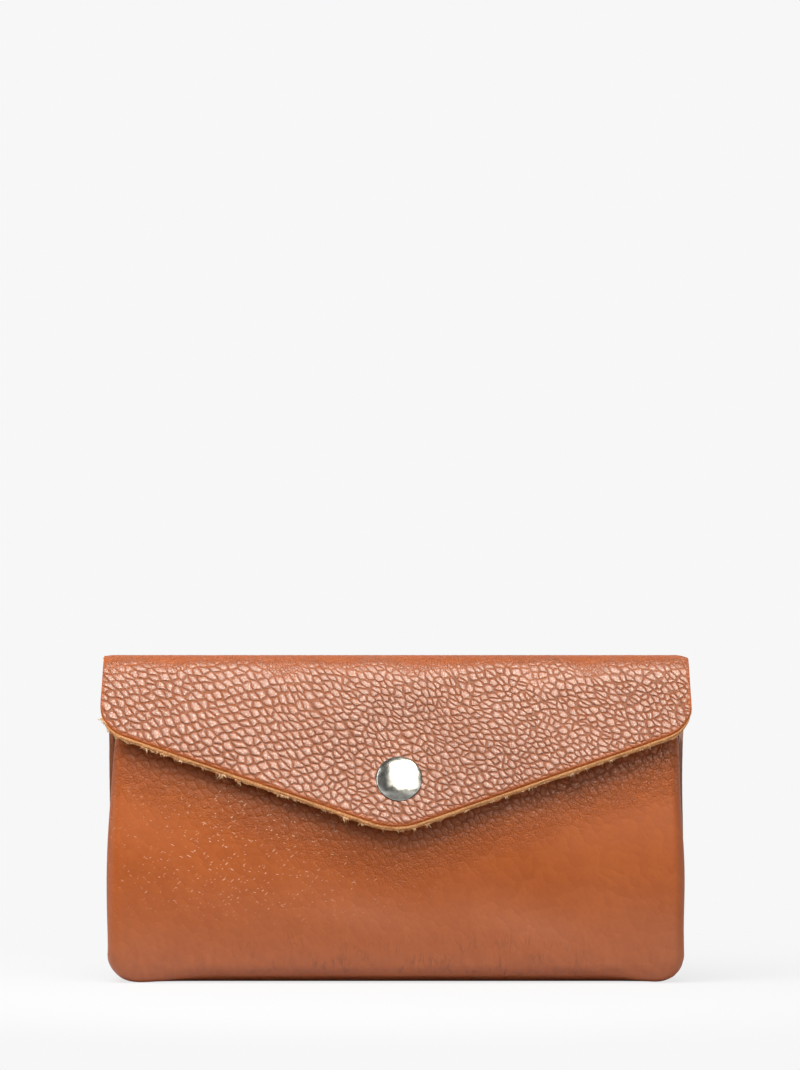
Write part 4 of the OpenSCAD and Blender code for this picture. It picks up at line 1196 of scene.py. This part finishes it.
widest = math.pi / 2 * 0.8
z = np.concatenate([pocket_foot + corner_r * (1 - np.cos(np.linspace(0, math.pi / 2, 12))),
                    np.linspace(pocket_foot + corner_r, pocket_h, 64)[1:]])[:, None]
low = np.maximum(0, corner_r - (z - pocket_foot))
half = pocket_half_w - corner_r + np.sqrt(np.maximum(0, corner_r**2 - low**2))
x = half * np.sin(np.linspace(-1, 1, 161) * widest) / math.sin(widest)
swell = pocket_swell(x, z)
for word, facing in (("front", -1), ("back", 1)):
    outer = np.stack([x, pocket_y + facing * swell, z + 0 * x], axis=-1)
    inner = np.stack([x, pocket_y + facing * np.maximum(0.05, swell - wall_t), z + 0 * x], axis=-1)
    hide = np.stack([x + 700, facing * 200 - z + 0 * x], axis=-1)
    if facing > 0:
        outer, inner, hide = outer[:, ::-1], inner[:, ::-1], hide[:, ::-1]
    wall = leather_mesh("pocket_%s_leather" % word, outer, grid_normals(outer), inner, hide,
                        inner_relief + 0 * x)
    finish_leather(wall, inner_grain)
    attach(wall, "coin_pocket")
    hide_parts("pocket_%s_wall" % word)

# Card slots: three tiers of thin leather on the pocket's front wall, each with its mouth turned over
# in a hem, sewn at the sides and the bottom.
tier_words = ("top", "middle", "bottom")
tier_boxes = [[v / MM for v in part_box("card_tier_" + word)] for word in tier_words]
tier_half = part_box("card_tier_top")[1].x / MM
tier_t, tier_hem, tier_hem_t, tier_corner = 0.7, 6.0, 0.3, 1.5
tier_roll_w, tier_roll_h = 0.8, 0.45
tier_relief = 0.22
for row, (word, (low, high)) in enumerate(zip(tier_words, tier_boxes)):
    z = low.z + (high.z - low.z) * np.linspace(0, 1, 60)[:, None]
    hem = smooth_step(z, high.z - tier_hem - 0.3, high.z - tier_hem + 0.3)
    roll = np.maximum(0, tier_roll_w - (high.z - z)) / tier_roll_w
    narrow = np.maximum(0, z - high.z + tier_corner)
    narrow = tier_corner - np.sqrt(np.maximum(0, tier_corner**2 - narrow**2))
    x = (tier_half - narrow) * np.linspace(-1, 1, 101)
    lift = (high.z - low.z) / 960 * smooth_step(z, low.z, high.z) * np.cos(math.pi / 2 * x / tier_half)
    face = high.y - tier_t - tier_hem_t * hem + tier_roll_h * roll**2 - lift
    outer = np.stack([x, face, z + 0 * x], axis=-1)
    inner = np.stack([x, high.y - lift, z + 0 * x], axis=-1)
    hide = np.stack([x + 900 + 130 * row, -z + 0 * x], axis=-1)
    tier = leather_mesh("card_tier_%s_leather" % word, outer, grid_normals(outer), inner, hide,
                        tier_relief + 0 * x)
    finish_leather(tier, inner_grain)
    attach(tier, "coin_pocket")
    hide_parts("card_tier_" + word)


# Zip tapes: woven polyester, folded over at the top so that their edges carry the teeth. Each is sewn
# inside one wall of the pocket.
def bands(tree, scale, direction):
    """Even bands across a piece."""
    inputs = {"Vector": object_place(tree), "Scale": scale}
    return add_node(tree, "ShaderNodeTexWave", inputs, bands_direction=direction).outputs[0]


def weave(tree):
    """Warp over weft, for a surface of two tones."""
    return maths(tree, "MAXIMUM", bands(tree, 900.0, "X"), bands(tree, 520.0, "Z"))


def swept_strip(name, path, thickness, half_length, steps):
    """A strip of even thickness along x: its middle line in side view, a round at each long edge."""
    slope = np.gradient(path, axis=0)
    slope = slope / np.linalg.norm(slope, axis=1, keepdims=True)
    normal = np.stack([slope[:, 1], -slope[:, 0]], axis=1)
    loop = np.concatenate([path + normal * thickness / 2, path[-1:] + slope[-1:] * thickness / 3,
                           (path - normal * thickness / 2)[::-1], path[:1] - slope[:1] * thickness / 3])
    count = len(loop)
    x = np.linspace(-half_length, half_length, steps)[:, None]
    grid = np.stack(np.broadcast_arrays(x, loop[None, :, 0], loop[None, :, 1]), axis=-1)
    faces = grid_faces(steps, count, True, 0, False).tolist()
    faces += [list(range(count))[::-1], [(steps - 1) * count + i for i in range(count)]]
    mesh = bpy.data.meshes.new(name)
    mesh.from_pydata(grid.reshape(-1, 3) * MM, [], faces)
    shape = bmesh.new()
    shape.from_mesh(mesh)
    bmesh.ops.recalc_face_normals(shape, faces=shape.faces)
    shape.to_mesh(mesh)
    shape.free()
    return add_object(name, mesh)


woven_tape = two_tone("woven_tape", weave, (0.10, 0.035, 0.012, 1), (0.27, 0.10, 0.04, 1),
                      {"Roughness": 0.8, "Sheen Weight": 0.3}, height=0.08, blend=None)
tape_low, tape_high = (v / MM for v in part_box("zip_tape_front"))
chain_z = tape_high.z - 0.25
tape_t, row_back, row_half = 0.5, 1.3, 0.75
tape_half = tape_high.x
tape_out = pocket_y - tape_low.y - tape_t / 2
tape_foot, tape_fold, tape_end = (
    np.array([point]) for point in ((tape_out, tape_low.z), (tape_out, chain_z), (row_back + 0.1, chain_z)))
for word, facing in (("front", -1), ("back", 1)):
    path = soft_fold(tape_foot, tape_fold, tape_end, 0.55, 6)[0]
    path[:, 0] = pocket_y + facing * path[:, 0]
    tape = swept_strip("zip_tape_%s_woven" % word, path, tape_t - 0.06, tape_half, 40)
    tape.data.materials.append(woven_tape)
    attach(tape, "coin_pocket")
    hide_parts("zip_tape_" + word)

# Zip teeth: stamped brass, each clamped on the edge of its tape, with a waist and a round head that
# lies between two teeth of the other row.
antique_brass = metal_material("antique_brass", (0.62, 0.47, 0.26, 1), (0.42, 0.30, 0.16, 1),
                               smooth=0.2, wear=0.004)
tooth_pitch, tooth_w, tooth_h, tooth_round = 2.4, 0.9, 1.3, 0.16
chain_low, chain_high = (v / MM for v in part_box("zip_teeth_front"))
tooth_tip = chain_high.y - pocket_y
half_plan = np.array([[-row_back, tooth_w / 2], [-row_half, tooth_w / 2], [-row_half / 3, tooth_w / 3],
                      [tooth_tip - tooth_w / 2, tooth_w / 2], [tooth_tip - 0.1, tooth_w / 3]])
plan = np.concatenate([half_plan, half_plan[::-1] * (1, -1)])
tooth_shape = bmesh.new()
corners = [tooth_shape.verts.new((x * MM, y * MM, -tooth_h / 2 * MM)) for y, x in plan]
bottom = tooth_shape.faces.new(corners)
grown = bmesh.ops.extrude_face_region(tooth_shape, geom=[bottom])["geom"]
grown = [part for part in grown if isinstance(part, bmesh.types.BMVert)]
bmesh.ops.translate(tooth_shape, vec=(0, 0, tooth_h * MM), verts=grown)
level = [e for e in tooth_shape.edges if abs(e.verts[0].co.z - e.verts[1].co.z) < 1e-9]
bmesh.ops.bevel(tooth_shape, geom=level, offset=tooth_round * MM, segments=2, affect="EDGES", profile=0.5)
bmesh.ops.recalc_face_normals(tooth_shape, faces=tooth_shape.faces)
tooth_mesh = bpy.data.meshes.new("tooth")
tooth_shape.to_mesh(tooth_mesh)
tooth_shape.free()
tooth = bpy.data.objects.new("tooth", tooth_mesh)

row_tree, given = new_tree("tooth_row", {
    "Count": "Int", "Turn": "Float", "Tooth": "Object", "Material": "Material"})
turned = add_node(row_tree, "ShaderNodeCombineXYZ", {2: given["Turn"]}).outputs[0]
place_copies(row_tree, given, along_line(row_tree, given, "COUNT", "Count"),
             shape_of(row_tree, given["Tooth"]), Rotation=turned)


def line_object(name, lines):
    """An object of edges only, for a tree that follows a path. lines are lists of points in millimetres."""
    points, edges = [], []
    for line in lines:
        edges += [(len(points) + i, len(points) + i + 1) for i in range(len(line) - 1)]
        points += [Vector(point) * MM for point in line]
    mesh = bpy.data.meshes.new(name)
    mesh.from_pydata(points, edges, [])
    return add_object(name, mesh)


first = chain_low.x + tooth_pitch / 2
last_gap = int((chain_high.x - first - tooth_pitch) / tooth_pitch)
for word, shift, turn in (("front", 0, 0), ("back", tooth_pitch / 2, math.pi)):
    start = first + shift
    ends = [(start, pocket_y, chain_z), (start + last_gap * tooth_pitch, pocket_y, chain_z)]
    teeth = line_object("zip_teeth_%s_brass" % word, [ends])
    run_tree(teeth, row_tree, {"Count": last_gap + 1, "Turn": turn, "Tooth": tooth, "Material": antique_brass})
    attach(teeth, "coin_pocket")
    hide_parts("zip_teeth_" + word)
bpy.data.objects.remove(tooth)

# Zip stops, slider and pull: cast and stamped in the same brass. The slider runs on the chain, and the
# pull swings on the slider's bridge.
plate(antique_brass, "zip_top_stops", "zip_bottom_stop", "zip_slider", "zip_pull")


# Stitching of the pocket: tan thread through walls and tapes below the zip, and through the card
# tiers at their sides and along the bottom.
def ply(tree):
    """The twist of a thread, for a surface of two tones."""
    return bands(tree, 700.0, "DIAGONAL")


tan_thread = two_tone("tan_thread", ply, (0.32, 0.13, 0.045, 1), (0.62, 0.32, 0.14, 1),
                      {"Roughness": 0.6}, height=0.05, blend=None)
stitch_tree, given = new_tree("stitch_row", {
    "Pitch": "Float", "Length": "Float", "Thread": "Float", "Material": "Material"})
spots = along_line(stitch_tree, given, "LENGTH", "Pitch")
turn = facing_way(stitch_tree, spots["Tangent"], "X")
bead = add_node(stitch_tree, "GeometryNodeMeshUVSphere", {"Segments": 8, "Rings": 6, "Radius": 0.5}).outputs[0]
inputs = {0: given["Length"], 1: given["Thread"], 2: given["Thread"]}
size = add_node(stitch_tree, "ShaderNodeCombineXYZ", inputs).outputs[0]
place_copies(stitch_tree, given, spots, bead, Rotation=turn, Scale=size)

seam_in, thread_d, stitch_pitch, stitch_l = 1.5, 0.4, 3.0, 2.5
wall_seam = pocket_h - seam_in
lines = []
for facing in (-1, 1):
    y = pocket_y + facing * pocket_half
    lines.append([(-tape_half, y, wall_seam), (tape_half, y, wall_seam)])
side = tier_half - seam_in
for row, (low, high) in enumerate(tier_boxes):
    face = high.y - tier_t
    hem_y = face - tier_hem_t
    hem_z = high.z - tier_hem
    floor_z = tier_boxes[row + 1][1].z + 1 if row < 2 else low.z + seam_in
    for x in (-side, side):
        lines.append([(x, hem_y, high.z - seam_in), (x, hem_y, max(hem_z, floor_z))])
    if row == 2:
        lines.append([(-side, face, hem_z - 1), (-side, face, floor_z), (side, face, floor_z),
                      (side, face, hem_z - 1)])
stitches = line_object("pocket_stitches", lines)
run_tree(stitches, stitch_tree, {"Pitch": stitch_pitch * MM, "Length": stitch_l * MM, "Thread": thread_d * MM,
                                 "Material": tan_thread})
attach(stitches, "coin_pocket")
